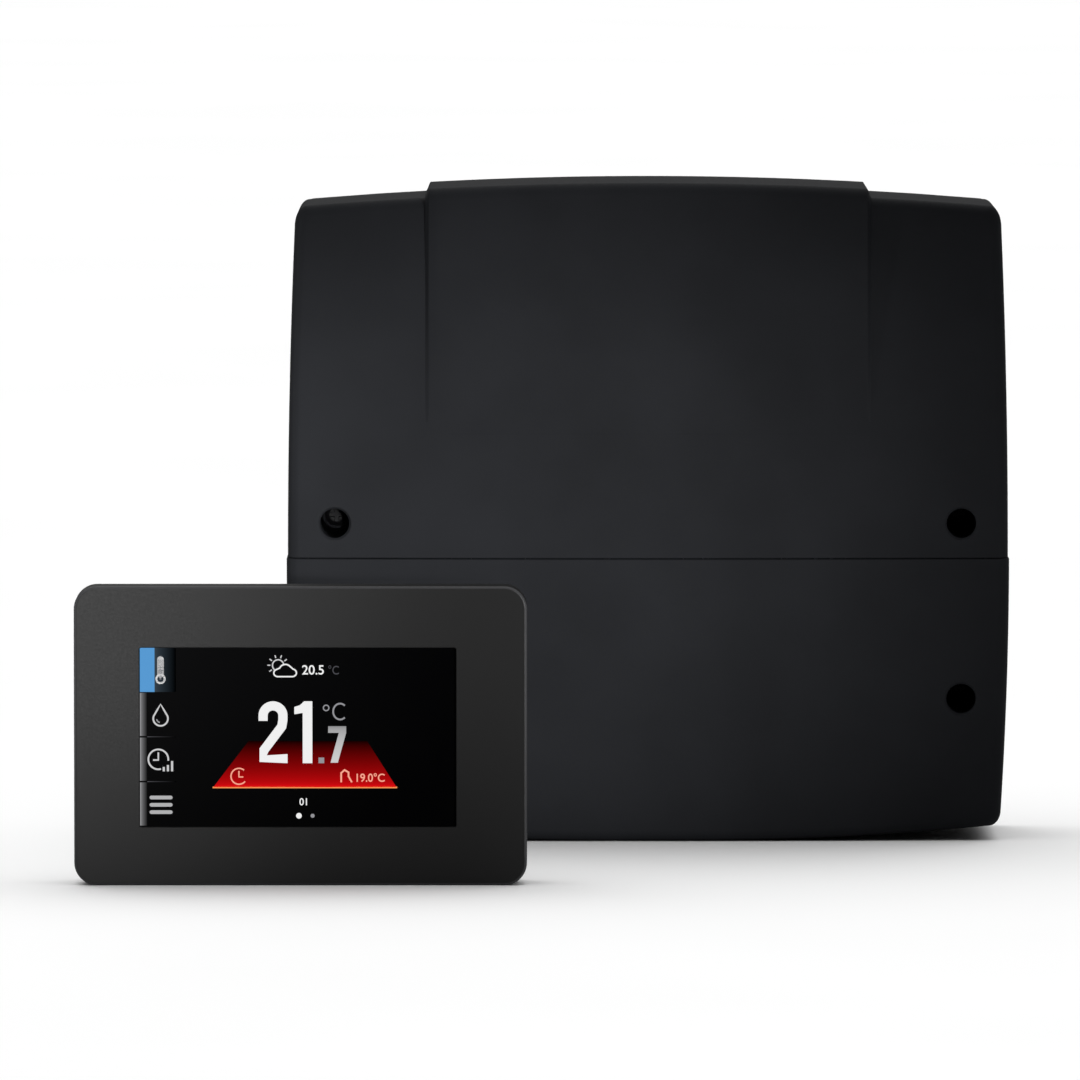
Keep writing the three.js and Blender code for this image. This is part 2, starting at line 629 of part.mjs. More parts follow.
// ---------------------------------------------------------------- terminals
const terminalRows = [
  { name: "mains", pitch: MAINS_PITCH, x0: HEADER_END_MARGIN - BOARD_HALF, x1: -HEADER_MIDDLE_GAP / 2 },
  { name: "sensor", pitch: SENSOR_PITCH, x0: HEADER_MIDDLE_GAP / 2, x1: BOARD_HALF - HEADER_END_MARGIN },
].map((row) => {
  const span = (row.x1 - row.x0 - 2 * HEADER_WALL) / PLUGS_PER_HEADER;
  const poles = Math.floor((span - 2 * PLUG_PLAY) / row.pitch);
  const plugXs = range(PLUGS_PER_HEADER).map((i) => row.x0 + HEADER_WALL + span * (i + 0.5));
  return { ...row, span, poles, plugXs };
});
const PIN_LENGTH = HEADER_DEPTH - 2.5;

// A row's header: a trough along X that is open to the front, with one pin for each pole.
function header({ x0, x1, pitch, poles, plugXs }) {
  const half = HEADER_HEIGHT / 2;
  const outer = block(x0, x1, -HEADER_DEPTH, 0, -half, half);
  const trough = block(
    x0 + HEADER_WALL,
    x1 - HEADER_WALL,
    -HEADER_DEPTH - 1,
    -HEADER_WALL,
    HEADER_WALL - half,
    half - HEADER_WALL,
  );
  const pins = plugXs.flatMap((middle) =>
    range(poles).map((i) => {
      const x = middle + (i - (poles - 1) / 2) * pitch;
      const reach = -HEADER_WALL - PIN_LENGTH + 1;
      return block(x - PIN_WIDTH / 2, x + PIN_WIDTH / 2, reach, -HEADER_WALL / 2, -PIN_WIDTH / 2, PIN_WIDTH / 2);
    }),
  );
  return union([outer.subtract(trough), ...pins]);
}

// One plug: a tongue that enters the header, and a head with wire entries below and screws in front.
function plug({ pitch, poles }) {
  const half = (poles * pitch) / 2;
  const tongueHalf = HEADER_HEIGHT / 2 - HEADER_WALL - PLUG_PLAY;
  const headHalf = PLUG_HEAD_HEIGHT / 2;
  const tongue = block(-half, half, -0.5, PLUG_TONGUE, -tongueHalf, tongueHalf);
  const slot = block(-half + 0.8, half - 0.8, 0.5, PLUG_TONGUE + 1, -PIN_WIDTH, PIN_WIDTH);
  const head = block(-half, half, -PLUG_HEAD_DEPTH, 0, -headHalf, headHalf);
  const step = block(-FAR, FAR, -PLUG_HEAD_DEPTH - 1, -PLUG_HEAD_DEPTH + 3, -FAR, 2 - headHalf);
  const ways = range(poles).flatMap((i) => {
    const x = (i - (poles - 1) / 2) * pitch;
    const wire = pitch * 0.3;
    return [
      block(x - wire, x + wire, -PLUG_HEAD_DEPTH + 5 - wire, -PLUG_HEAD_DEPTH + 5 + wire, -FAR, -1),
      rodY(pitch * 0.31, -PLUG_HEAD_DEPTH - 1, -PLUG_HEAD_DEPTH + 1.4, x, 1.5, 8),
    ];
  });
  return tongue.subtract(slot).add(head).subtract(union([step, ...ways]));
}

// ---------------------------------------------------------------- fuse
const fuseHolderX = -BOARD_HALF + 24;
const FUSE_AXIS_Y = ON_BOARD_Y - FUSE_HOLDER.depth - FUSE.radius - SEAT_GAP;

function fuseHolder() {
  const { length, height, depth } = FUSE_HOLDER;
  const floor = block(-length / 2, length / 2, -depth, 0, -height / 2, height / 2);
  const groove = block(-FUSE.length / 2, FUSE.length / 2, -depth - 1, -depth + 1.5, -FUSE.radius, FUSE.radius);
  return floor.subtract(groove);
}

// A glass fuse along X, through the origin.
function fuse() {
  const [half, cap] = [FUSE.length / 2, FUSE.length / 2 - FUSE.cap];
  const profile = [
    [0, -half],
    [FUSE.radius, -half],
    [FUSE.radius, -cap],
    [FUSE.radius - 0.3, -cap],
    [FUSE.radius - 0.3, cap],
    [FUSE.radius, cap],
    [FUSE.radius, half],
    [0, half],
  ];
  return turned(profile, 16).rotate([0, 0, 90]);
}

function fuseCap() {
  const { length, height } = FUSE_HOLDER;
  const outer = block(-length / 2, length / 2, -FUSE_CAP_DEPTH, 0, -height / 2, height / 2);
  const inside = block(
    FUSE_CAP_WALL - length / 2,
    length / 2 - FUSE_CAP_WALL,
    -FUSE_CAP_DEPTH + FUSE_CAP_WALL,
    1,
    FUSE_CAP_WALL - height / 2,
    height / 2 - FUSE_CAP_WALL,
  );
  const grip = block(-2, 2, -FUSE_CAP_DEPTH - 2, -FUSE_CAP_DEPTH + 0.5, -height / 2 + 1, height / 2 - 1);
  return outer.subtract(inside).add(grip);
}

// ---------------------------------------------------------------- earth bar and cable clamps
const earthBarX = -ENTRY_HALF + EARTH_BAR.length / 2 + 4;

function earthBar() {
  const { length, height, depth, ways } = EARTH_BAR;
  const bar = prism(roundedRectangle(length, height, 0.8, 0, 0, 2), -depth, 0);
  const holes = range(ways).map((i) => {
    const x = (i - (ways - 1) / 2) * (length / ways);
    return block(x - 1.6, x + 1.6, -depth / 2 - 1.6, -depth / 2 + 1.6, -height, height);
  });
  const screws = range(ways).map((i) => {
    const x = (i - (ways - 1) / 2) * (length / ways);
    const slot = block(x - 2.4, x + 2.4, -depth - 2, -depth - 0.6, -0.4, 0.4);
    return rodY(2.3, -depth - 1.4, -depth + 0.5, x, 0, 12).subtract(slot);
  });
  return union([bar.subtract(union(holes)), ...screws]);
}

function clampBar(span) {
  const { x0, x1 } = span;
  const half = CLAMP_HEIGHT / 2;
  const bar = block(x0, x1, -CLAMP_BACK - CLAMP_THICKNESS, -CLAMP_BACK, -half, half);
  const [first, last] = [x0 + 2 * CLAMP_SCREW_INSET, x1 - 2 * CLAMP_SCREW_INSET];
  const rib = block(first, last, -CLAMP_BACK - CLAMP_THICKNESS - 1.5, -CLAMP_BACK - 1, -1, 1);
  const teeth = between(first, last, CLAMP_TEETH).map((x) =>
    block(x - 0.7, x + 0.7, -CLAMP_BACK - 1, -CLAMP_BACK + CLAMP_TOOTH, -half, half),
  );
  const holes = clampScrewXs(span).map((x) => rodY(CLAMP_SCREW_RADIUS + SCREW_PLAY, -FAR, 0, x, 0, 12));
  return union([bar, rib, ...teeth]).subtract(union(holes));
}

// ---------------------------------------------------------------- touch panel, front at y = 0, foot at z = 0
const PANEL_MIDDLE_Z = PANEL_HEIGHT / 2;
const windowMiddle = { x: WINDOW_SHIFT.x, z: PANEL_MIDDLE_Z + WINDOW_SHIFT.z };
const panelRing = (inset, y) =>
  ringAt(
    roundedRectangle(
      PANEL_WIDTH - 2 * inset,
      PANEL_HEIGHT - 2 * inset,
      Math.max(PANEL_CORNER - inset, 1),
      0,
      PANEL_MIDDLE_Z,
      6,
    ),
    y,
  );
const panelScrewSpots = [-1, 1].flatMap((side) =>
  [-1, 1].map((end) => ({
    x: side * (PANEL_WIDTH / 2 - PANEL_SCREW_INSET.x),
    z: PANEL_MIDDLE_Z + end * (PANEL_HEIGHT / 2 - PANEL_SCREW_INSET.z),
  })),
);
const windowBlock = (grow, y0, y1) =>
  block(
    windowMiddle.x - WINDOW_WIDTH / 2 - grow,
    windowMiddle.x + WINDOW_WIDTH / 2 + grow,
    y0,
    y1,
    windowMiddle.z - WINDOW_HEIGHT / 2 - grow,
    windowMiddle.z + WINDOW_HEIGHT / 2 + grow,
  );

function panelBezel() {
  const outer = loft([
    panelRing(BEZEL_CHAMFER, 0),
    panelRing(BEZEL_CHAMFER * 0.3, BEZEL_CHAMFER * 0.3),
    panelRing(0, BEZEL_CHAMFER),
    panelRing(0, BEZEL_DEPTH),
  ]);
  const inside = loft([panelRing(BEZEL_WALL, BEZEL_WALL), panelRing(BEZEL_WALL, BEZEL_DEPTH + 1)]);
  const bosses = panelScrewSpots.map(({ x, z }) => rodY(PANEL_BOSS_RADIUS, 1, BEZEL_DEPTH - 0.5, x, z));
  const bores = panelScrewSpots.map(({ x, z }) =>
    rodY(PANEL_SCREW_RADIUS + SCREW_PLAY, BEZEL_WALL + 1, FAR, x, z, 12),
  );
  const cuts = [windowBlock(0, -1, FAR), windowBlock(GLASS_OVERLAP + 0.3, WINDOW_DEPTH, FAR)];
  return union([outer.subtract(inside), ...bosses]).subtract(union([...bores, ...cuts]));
}

const GLASS_Y = WINDOW_DEPTH + SEAT_GAP / 3;
const LCD_Y = GLASS_Y + GLASS_THICKNESS + SEAT_GAP;

function lcdModule() {
  const half = { x: WINDOW_WIDTH / 2 + LCD_OVERLAP.x, z: WINDOW_HEIGHT / 2 + LCD_OVERLAP.z };
  const [x0, x1] = [windowMiddle.x - half.x, windowMiddle.x + half.x];
  const [z0, z1] = [windowMiddle.z - half.z, windowMiddle.z + half.z];
  const frame = block(x0, x1, LCD_Y, LCD_Y + LCD_THICKNESS, z0, z1);
  const step = block(x0 + 1, x1 - 1, LCD_Y + LCD_THICKNESS - 0.6, FAR, z0 + 1, z1 - 1);
  return frame.subtract(step);
}

function panelBoard() {
  const { x, z } = { x: PANEL_WIDTH / 2 - PANEL_BOARD_MARGIN, z: PANEL_HEIGHT / 2 - PANEL_BOARD_MARGIN };
  const sheet = block(
    -x,
    x,
    PANEL_BOARD_Y,
    PANEL_BOARD_Y + BOARD_THICKNESS,
    PANEL_MIDDLE_Z - z,
    PANEL_MIDDLE_Z + z,
  );
  const notches = panelScrewSpots.map((spot) =>
    rodY(PANEL_BOSS_RADIUS + SEAT_GAP, 0, FAR, spot.x, spot.z, 16),
  );
  return sheet.subtract(union(notches));
}

const BACK_START = BEZEL_DEPTH + SEAT_GAP;
const pegSpots = [-PEG_X, PEG_X].flatMap((x) =>
  [WALL_PLATE.foot + 5, WALL_PLATE.foot + WALL_PLATE.height - 5].map((z) => ({ x, z })),
);
const pegBlock = ({ x, z }, y0, y1, grow) =>
  block(
    x - PEG.width / 2 - grow,
    x + PEG.width / 2 + grow,
    y0,
    y1,
    z - PEG.height / 2 - grow,
    z + PEG.height / 2 + grow,
  );

function panelBack() {
  const outer = loft([
    panelRing(BACK_INSET, BACK_START),
    panelRing(BACK_INSET, BACK_END - 1),
    panelRing(BACK_INSET + 1, BACK_END),
  ]);
  const insideInset = BACK_INSET + BACK_WALL;
  const inside = loft([panelRing(insideInset, 0), panelRing(insideInset, BACK_END - BACK_WALL)]);
  const bosses = panelScrewSpots.map(({ x, z }) =>
    rodY(PANEL_SCREW_HEAD_RADIUS + 1.4, BACK_START, BACK_END - 0.5, x, z),
  );
  const headSeat = BACK_START + 3;
  const recesses = panelScrewSpots.flatMap(({ x, z }) => [
    rodY(PANEL_SCREW_HEAD_RADIUS + 0.4, headSeat, FAR, x, z, 16),
    rodY(PANEL_SCREW_RADIUS + SCREW_PLAY, 0, FAR, x, z, 12),
  ]);
  const socketHole = block(
    -SOCKET.width / 2 - 1,
    SOCKET.width / 2 + 1,
    BACK_END - BACK_WALL - 1,
    FAR,
    PANEL_MIDDLE_Z - SOCKET.height / 2 - 1,
    PANEL_MIDDLE_Z + SOCKET.height / 2 + 1,
  );
  const pegHoles = pegSpots.map((spot) => pegBlock(spot, BACK_END - BACK_WALL - 1, FAR, PEG.play));
  const shell = union([outer.subtract(inside), ...bosses]);
  return shell.subtract(union([...recesses, socketHole, ...pegHoles]));
}

// The panel's socket: an open-backed trough with four pins.
function panelSocket() {
  const { width, height, depth } = SOCKET;
  const outer = block(-width / 2, width / 2, 0, depth, -height / 2, height / 2);
  const trough = block(1 - width / 2, width / 2 - 1, 1.2, depth + 1, 1 - height / 2, height / 2 - 1);
  const pins = range(4).map((i) => {
    const x = (i - 1.5) * SENSOR_PITCH;
    return block(x - PIN_WIDTH / 2, x + PIN_WIDTH / 2, 0.5, depth - 2, -PIN_WIDTH / 2, PIN_WIDTH / 2);
  });
  return union([outer.subtract(trough), ...pins]);
}

// The plug in the panel's socket; its wires enter from below.
function panelPlug() {
  const { width, height, depth } = SOCKET;
  const half = width / 2 - 1 - PLUG_PLAY;
  const tongueHalf = height / 2 - 1 - PLUG_PLAY;
  const tongue = block(-half, half, 1.6, depth + 2.8, -tongueHalf, tongueHalf);
  const slot = block(0.8 - half, half - 0.8, 0, depth - 1, -PIN_WIDTH, PIN_WIDTH);
  const ways = range(4).map((i) => {
    const x = (i - 1.5) * SENSOR_PITCH;
    return rodY(1.1, depth + 1.6, depth + 4, x, 0, 8);
  });
  return tongue.subtract(union([slot, ...ways]));
}

function wallPlate() {
  const { width, height, thickness, corner, foot } = WALL_PLATE;
  const middle = foot + height / 2;
  const y0 = BACK_END + SEAT_GAP;
  const plate = prism(roundedRectangle(width, height, corner, 0, middle, 4), y0, y0 + thickness);
  const { width: openWidth, height: openHeight } = WALL_PLATE_OPENING;
  const opening = prism(roundedRectangle(openWidth, openHeight, 3, 0, middle, 3), 0, FAR);
  const slots = [-1, 1].map((side) => {
    const x = (side * WALL_SLOT_SPACING) / 2;
    return prism(
      roundedRectangle(2 * WALL_SLOT.radius, WALL_SLOT.run + 2 * WALL_SLOT.radius, WALL_SLOT.radius, x, middle, 4),
      0,
      FAR,
    );
  });
  const pegs = pegSpots.map((spot) => pegBlock(spot, y0 - PEG.reach, y0 + 1, 0));
  return union([plate, ...pegs]).subtract(union([opening, ...slots]));
}

// ---------------------------------------------------------------- assembly
function add(group, name, shape, material, x = 0, y = 0, z = 0) {
  const mesh = new THREE.Mesh(geometryOf(shape), material);
  mesh.name = name;
  mesh.position.set(x, y, z);
  group.add(mesh);
}

const controller = new THREE.Group();
const westEdge = PANEL_MIDDLE_X - PANEL_WIDTH / 2;
controller.position.set(-(westEdge + MODULE_WIDTH / 2) / 2, -PANEL_FRONT_Y / 2, 0);

const controlModule = new THREE.Group();
controller.add(controlModule);
add(controlModule, "module_base", moduleBase(), caseBlack);
add(controlModule, "upper_cover", upperCover(), caseBlack);
add(controlModule, "terminal_cover", terminalCover(), caseBlack);

const coverScrewLength = SHANK_TIP - WELL_SEAT;
for (const [side, x] of [["left", -WELL_X], ["right", WELL_X]])
  for (const [row, z] of [["upper", UPPER_WELL_Z], ["lower", LOWER_WELL_Z]]) {
    const shape = panScrew(
      COVER_SCREW_RADIUS,
      COVER_SCREW_HEAD_RADIUS,
      COVER_SCREW_HEAD_HEIGHT,
      coverScrewLength,
    );
    add(controlModule, `cover_screw_${row}_${side}`, shape, steel, x, WELL_SEAT - SEAT_GAP, z);
  }

add(controlModule, "main_board", mainBoard(), boardGreen);
const boardScrewLength = SHANK_TIP - ON_BOARD_Y;
boardHoles.forEach(({ x, z }, i) => {
  const shape = panScrew(
    BOARD_SCREW_RADIUS,
    BOARD_SCREW_HEAD_RADIUS,
    BOARD_SCREW_HEAD_HEIGHT,
    boardScrewLength,
  );
  add(controlModule, `board_screw_${i + 1}`, shape, steel, x, ON_BOARD_Y, z);
});

for (const i of range(RELAY.count)) {
  const x = -BOARD_HALF + 4 + RELAY.width / 2 + i * RELAY.pitch;
  add(controlModule, `relay_${i + 1}`, relay(), relayBlue, x, ON_BOARD_Y, (relayZ0 + relayZ1) / 2);
}
const transformerX = BOARD_HALF - 3 - TRANSFORMER.width / 2;
const transformerZ = relayZ0 + TRANSFORMER.height / 2;
add(controlModule, "mains_transformer", transformer(), blockBlack, transformerX, ON_BOARD_Y, transformerZ);
const supplyZ = transformerZ + TRANSFORMER.height / 2 + 12;
const supplyParts = [
  ["storage_capacitor", capacitor(STORAGE_CAPACITOR), blockBlack, transformerX - 14],
  ["output_capacitor", capacitor(OUTPUT_CAPACITOR), blockBlack, transformerX],
  ["varistor", varistor(), relayBlue, transformerX + 12],
];
for (const [name, shape, material, x] of supplyParts)
  add(controlModule, name, shape, material, x, ON_BOARD_Y, supplyZ);
const filmX = transformerX - 2;
add(controlModule, "film_capacitor", filmCapacitor(), filmYellow, filmX, ON_BOARD_Y, supplyZ + 18);

add(controlModule, "logic_board", logicBoard(), boardGreen);
spacerSpots.forEach(({ x, z }, i) => {
  const spacer = rodY(SPACER_RADIUS, logic.backY + SEAT_GAP, ON_BOARD_Y, x, z, 6);
  add(controlModule, `board_spacer_${i + 1}`, spacer, steel);
});
const linkX = (logic.x0 + logic.x1) / 2;
const link = block(linkX - 20, linkX + 20, logic.backY + SEAT_GAP, ON_BOARD_Y, logic.z0 + 1, logic.z0 + 6);
add(controlModule, "board_link", link, blockBlack);
const battery = turned([
  [0, -BATTERY.thickness],
  [BATTERY.radius - 0.8, -BATTERY.thickness],
  [BATTERY.radius, -BATTERY.thickness + 0.8],
  [BATTERY.radius, 0],
  [0, 0],
]);
add(controlModule, "clock_battery", battery, steel, batterySpot.x, logic.frontY - SEAT_GAP, batterySpot.z);

for (const row of terminalRows) {
  const material = row.name === "mains" ? terminalGreen : terminalGrey;
  add(controlModule, `${row.name}_header`, header(row), material, 0, ON_BOARD_Y, HEADER_Z);
  row.plugXs.forEach((x, i) => {
    const y = ON_BOARD_Y - HEADER_DEPTH - SEAT_GAP;
    add(controlModule, `${row.name}_plug_${i + 1}`, plug(row), material, x, y, HEADER_Z);
  });
}

add(controlModule, "fuse_holder", fuseHolder(), blockBlack, fuseHolderX, ON_BOARD_Y, FUSE_Z);
add(controlModule, "fuse", fuse(), glassBlack, fuseHolderX, FUSE_AXIS_Y, FUSE_Z);
const fuseCapY = ON_BOARD_Y - FUSE_HOLDER.depth - SEAT_GAP;
add(controlModule, "fuse_cap", fuseCap(), blockBlack, fuseHolderX, fuseCapY, FUSE_Z);

const earthBarY = -PLATE_THICKNESS - EARTH_BAR.stand - SEAT_GAP;
add(controlModule, "earth_bar", earthBar(), brass, earthBarX, earthBarY, EARTH_BAR_Z);
const clampScrewLength = SHANK_TIP - CLAMP_TRAVEL + CLAMP_BACK + CLAMP_THICKNESS;
for (const span of clampSpans) {
  add(controlModule, `${span.name}_clamp_bar`, clampBar(span), clampGrey, 0, 0, CLAMP_Z);
  clampScrewXs(span).forEach((x, i) => {
    const shape = panScrew(
      CLAMP_SCREW_RADIUS,
      CLAMP_SCREW_HEAD_RADIUS,
      CLAMP_SCREW_HEAD_HEIGHT,
      clampScrewLength,
    );
    const y = -CLAMP_BACK - CLAMP_THICKNESS - SEAT_GAP;
    add(controlModule, `${span.name}_clamp_screw_${i + 1}`, shape, steel, x, y, CLAMP_Z);
  });
}

const touchPanel = new THREE.Group();
touchPanel.position.set(PANEL_MIDDLE_X, PANEL_FRONT_Y, 0);
controller.add(touchPanel);
add(touchPanel, "panel_bezel", panelBezel(), panelBlack);
const glass = windowBlock(GLASS_OVERLAP, GLASS_Y, GLASS_Y + GLASS_THICKNESS);
add(touchPanel, "touch_glass", glass, glassBlack);
add(touchPanel, "lcd_module", lcdModule(), steel);
add(touchPanel, "panel_board", panelBoard(), boardGreen);
add(touchPanel, "panel_back", panelBack(), panelBlack);
const behindBoard = PANEL_BOARD_Y + BOARD_THICKNESS + SEAT_GAP;
const buzzerShape = turned([
  [0, 0],
  [BUZZER.radius, 0],
  [BUZZER.radius, BUZZER.height - 0.6],
  [BUZZER.radius - 0.6, BUZZER.height],
  [1, BUZZER.height],
  [1, BUZZER.height - 1.5],
  [0, BUZZER.height - 1.5],
]);
add(touchPanel, "buzzer", buzzerShape, blockBlack, PEG_X, behindBoard, PANEL_MIDDLE_Z);
add(touchPanel, "panel_socket", panelSocket(), terminalGreen, 0, behindBoard, PANEL_MIDDLE_Z);
add(touchPanel, "panel_plug", panelPlug(), terminalGreen, 0, behindBoard, PANEL_MIDDLE_Z);
const panelScrewLength = BACK_START + 3 - BEZEL_WALL - 1.6;
panelScrewSpots.forEach(({ x, z }, i) => {
  const shape = panScrew(
    PANEL_SCREW_RADIUS,
    PANEL_SCREW_HEAD_RADIUS,
    PANEL_SCREW_HEAD_HEIGHT,
    panelScrewLength,
  ).rotate([0, 0, 180]);
  add(touchPanel, `panel_screw_${i + 1}`, shape, steel, x, BACK_START + 3 + SEAT_GAP, z);
});
add(touchPanel, "wall_plate", wallPlate(), panelBlack);

export default controller;
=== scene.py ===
"""Looks of the underfloor heating controller set: the control module and the touch panel, in metres."""
import math

import bmesh
import bpy
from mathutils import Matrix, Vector
from mathutils.bvhtree import BVHTree
from mathutils.interpolate import poly_3d_calc


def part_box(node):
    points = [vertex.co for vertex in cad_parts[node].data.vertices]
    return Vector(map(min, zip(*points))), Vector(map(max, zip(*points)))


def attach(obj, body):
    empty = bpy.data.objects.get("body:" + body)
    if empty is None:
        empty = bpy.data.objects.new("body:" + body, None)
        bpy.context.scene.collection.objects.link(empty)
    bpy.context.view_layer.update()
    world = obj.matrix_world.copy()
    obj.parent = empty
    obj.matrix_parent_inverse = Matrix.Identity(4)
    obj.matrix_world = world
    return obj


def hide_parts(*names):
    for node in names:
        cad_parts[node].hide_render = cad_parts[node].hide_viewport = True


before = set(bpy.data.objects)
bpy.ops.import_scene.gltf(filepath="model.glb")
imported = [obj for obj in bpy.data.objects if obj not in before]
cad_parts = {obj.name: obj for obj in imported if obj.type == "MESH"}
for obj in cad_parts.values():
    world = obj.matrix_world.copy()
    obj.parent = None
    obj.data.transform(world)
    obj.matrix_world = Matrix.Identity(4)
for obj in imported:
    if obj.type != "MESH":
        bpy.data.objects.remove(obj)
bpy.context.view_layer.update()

# ---- places from the frame
base_low, base_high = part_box("module_base")
upper_low, upper_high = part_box("upper_cover")
lower_low, lower_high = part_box("terminal_cover")
bezel_low, bezel_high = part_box("panel_bezel")
glass_low, glass_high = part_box("touch_glass")

MODULE_X = (base_low.x + base_high.x) / 2
WALL_Y = base_high.y
COVER_BACK_Y = lower_high.y
MODULE_WIDTH = lower_high.x - lower_low.x
MODULE_HEIGHT = base_high.z
MODULE_DEPTH = WALL_Y - lower_low.y
SPLIT_Z = (upper_low.z + lower_high.z) / 2
COVER_STEP = (MODULE_WIDTH - (upper_high.x - upper_low.x)) / 2
RAISED_RISE = upper_high.z - MODULE_HEIGHT

# ---- shape of the module's case
CASE_WALL = 0.0025
SPLIT_GAP = 0.00022
UPPER_NARROWING = 0.0027
LOWER_NARROWING = 0.003
TOP_CROWN = 0.0044
BOTTOM_CROWN = 0.0043
FOOT_HALF = 0.015
FRONT_CROWN_X = 0.0032
FRONT_CROWN_Z = 0.0024
EDGE_FILLET = 0.0036
CROWN_HALF = 0.1052
TOP_CORNER = (0.0036, 0.0066)
BOTTOM_CORNER = (0.0034, 0.005)
RAISED_WIDTH = 0.1374
RAISED_DROP = 0.077
RAISED_FILLET = 0.004
RAISED_EDGE = 0.0008  # half of the width of the step at the field's sides
RAISED_FADE = 0.035  # height over which the field's foot runs out
WELL_RADIUS = 0.0046
WELL_WALL = 0.0016
WELL_LIP = 0.0006
WELL_FLOOR = 0.003
SCREW_HEAD = 0.0028  # head and the gap below it
SCREW_HOLE = 0.00195
RIB_HALF = 0.0006
RIB_ROOT = 0.0012
RIB_RISE = 0.0028
RIB_PITCH = 0.032
RIB_SPAN = 0.08
HOOK_X = 0.06
HOOK_HALF = 0.0055
HOOK_DROP = 0.0024
ENTRY_MARGIN = 0.026
FAR = 1.0

# ---- shape of the touch panel
PANEL_CORNER = 0.0068
BEZEL_WALL = 0.0022
BEZEL_CHAMFER = 0.0009
BOSS_RADIUS = 0.0032
BOSS_BORE = 0.00145
WINDOW_GROW = 0.004  # glass overlap behind the window's edge
WINDOW_DEPTH = 0.0012
WINDOW_ROUND = 0.0003

PANEL_X = (bezel_low.x + bezel_high.x) / 2
PANEL_Z = (bezel_low.z + bezel_high.z) / 2
PANEL_FRONT_Y = bezel_low.y
WINDOW_X = (glass_low.x + glass_high.x) / 2
WINDOW_Z = (glass_low.z + glass_high.z) / 2
WINDOW_WIDTH = glass_high.x - glass_low.x - 2 * WINDOW_GROW
WINDOW_HEIGHT = glass_high.z - glass_low.z - 2 * WINDOW_GROW


# ---- camera
VIEW_WIDTH = 0.3238  # what the frame spans at the panel's front
VIEW_DISTANCE = 3.9
VIEW_ELEVATION = math.radians(3.9)
AIM_OFFSET = Vector((0.0719, 0, 0.059))  # from the middle of the panel's front to the middle of the view


def make_camera():
    """The photograph's view: a little from above, and from far away."""
    data = bpy.data.cameras.new("camera")
    data.sensor_width = 36
    data.lens = data.sensor_width * VIEW_DISTANCE / VIEW_WIDTH
    data.clip_end = 100
    camera = bpy.data.objects.new("camera", data)
    bpy.context.collection.objects.link(camera)
    aim = Vector((PANEL_X, PANEL_FRONT_Y, PANEL_Z)) + AIM_OFFSET
    back = Vector((0, -math.cos(VIEW_ELEVATION), math.sin(VIEW_ELEVATION)))
    camera.location = aim + back * VIEW_DISTANCE
    camera.rotation_euler = (-back).to_track_quat("-Z", "Y").to_euler()
    bpy.context.scene.camera = camera


make_camera()


# ---- materials
GLOW_CURVE = 0.45  # makes the display's fades look even to the eye


def new_material(name):
    material = bpy.data.materials.new(name)
    material.use_nodes = True
    nodes = material.node_tree.nodes
    return material, nodes, material.node_tree.links, nodes["Principled BSDF"]


def noise(nodes, links, scale, detail=2.0, roughness=0.5, stretch=None):
    place = nodes.new("ShaderNodeTexCoord")
    texture = nodes.new("ShaderNodeTexNoise")
    texture.inputs["Scale"].default_value = scale
    texture.inputs["Detail"].default_value = detail
    texture.inputs["Roughness"].default_value = roughness
    source = place.outputs["Object"]
    if stretch:
        mapping = nodes.new("ShaderNodeMapping")
        mapping.inputs["Scale"].default_value = stretch
        links.new(source, mapping.inputs["Vector"])
        source = mapping.outputs["Vector"]
    links.new(source, texture.inputs["Vector"])
    return texture.outputs["Fac"]


def ramp(nodes, links, source, low, high, low_at=0.35, high_at=0.65):
    """Colour that goes from low to high as source goes from low_at to high_at."""
    node = nodes.new("ShaderNodeValToRGB")
    node.color_ramp.elements[0].position = low_at
    node.color_ramp.elements[1].position = high_at
    node.color_ramp.elements[0].color = (*low, 1)
    node.color_ramp.elements[1].color = (*high, 1)
    links.new(source, node.inputs["Fac"])
    return node.outputs["Color"]


def remap(nodes, links, source, low, high):
    node = nodes.new("ShaderNodeMapRange")
    node.inputs["From Min"].default_value = 0.3
    node.inputs["From Max"].default_value = 0.7
    node.inputs["To Min"].default_value = low
    node.inputs["To Max"].default_value = high
    links.new(source, node.inputs["Value"])
    return node.outputs["Result"]


def bump(nodes, links, source, distance):
    node = nodes.new("ShaderNodeBump")
    node.inputs["Distance"].default_value = distance
    links.new(source, node.inputs["Height"])
    return node.outputs["Normal"]


def scaled(color, factor):
    return tuple(min(1.0, c * factor) for c in color)


def plastic(name, color, roughness, grain=900.0, grain_depth=0.00003, mottle=0.12, specular=0.35):
    """Moulded plastic: a fine eroded grain, a slight mottle in colour and in gloss."""
    material, nodes, links, shader = new_material(name)
    cloud = noise(nodes, links, 22.0, 4.0)
    tone = ramp(nodes, links, cloud, scaled(color, 1 - mottle), scaled(color, 1 + mottle))
    links.new(tone, shader.inputs["Base Color"])
    fine = noise(nodes, links, grain, 3.0, 0.6)
    links.new(remap(nodes, links, fine, roughness - 0.05, roughness + 0.05), shader.inputs["Roughness"])
    links.new(bump(nodes, links, fine, grain_depth), shader.inputs["Normal"])
    shader.inputs["Specular IOR Level"].default_value = specular
    return material


def metal(name, color, roughness, stretch=(1, 1, 1), scale=500.0):
    """Plated or turned metal, with fine marks and a cloudy finish."""
    material, nodes, links, shader = new_material(name)
    shader.inputs["Metallic"].default_value = 1.0
    marks = noise(nodes, links, scale, 3.0, 0.6, stretch)
    cloud = noise(nodes, links, 90.0, 3.0)
    tone = ramp(nodes, links, cloud, scaled(color, 0.86), scaled(color, 1.06))
    links.new(tone, shader.inputs["Base Color"])
    links.new(remap(nodes, links, marks, roughness - 0.08, roughness + 0.1), shader.inputs["Roughness"])
    links.new(bump(nodes, links, marks, 0.00001), shader.inputs["Normal"])
    return material


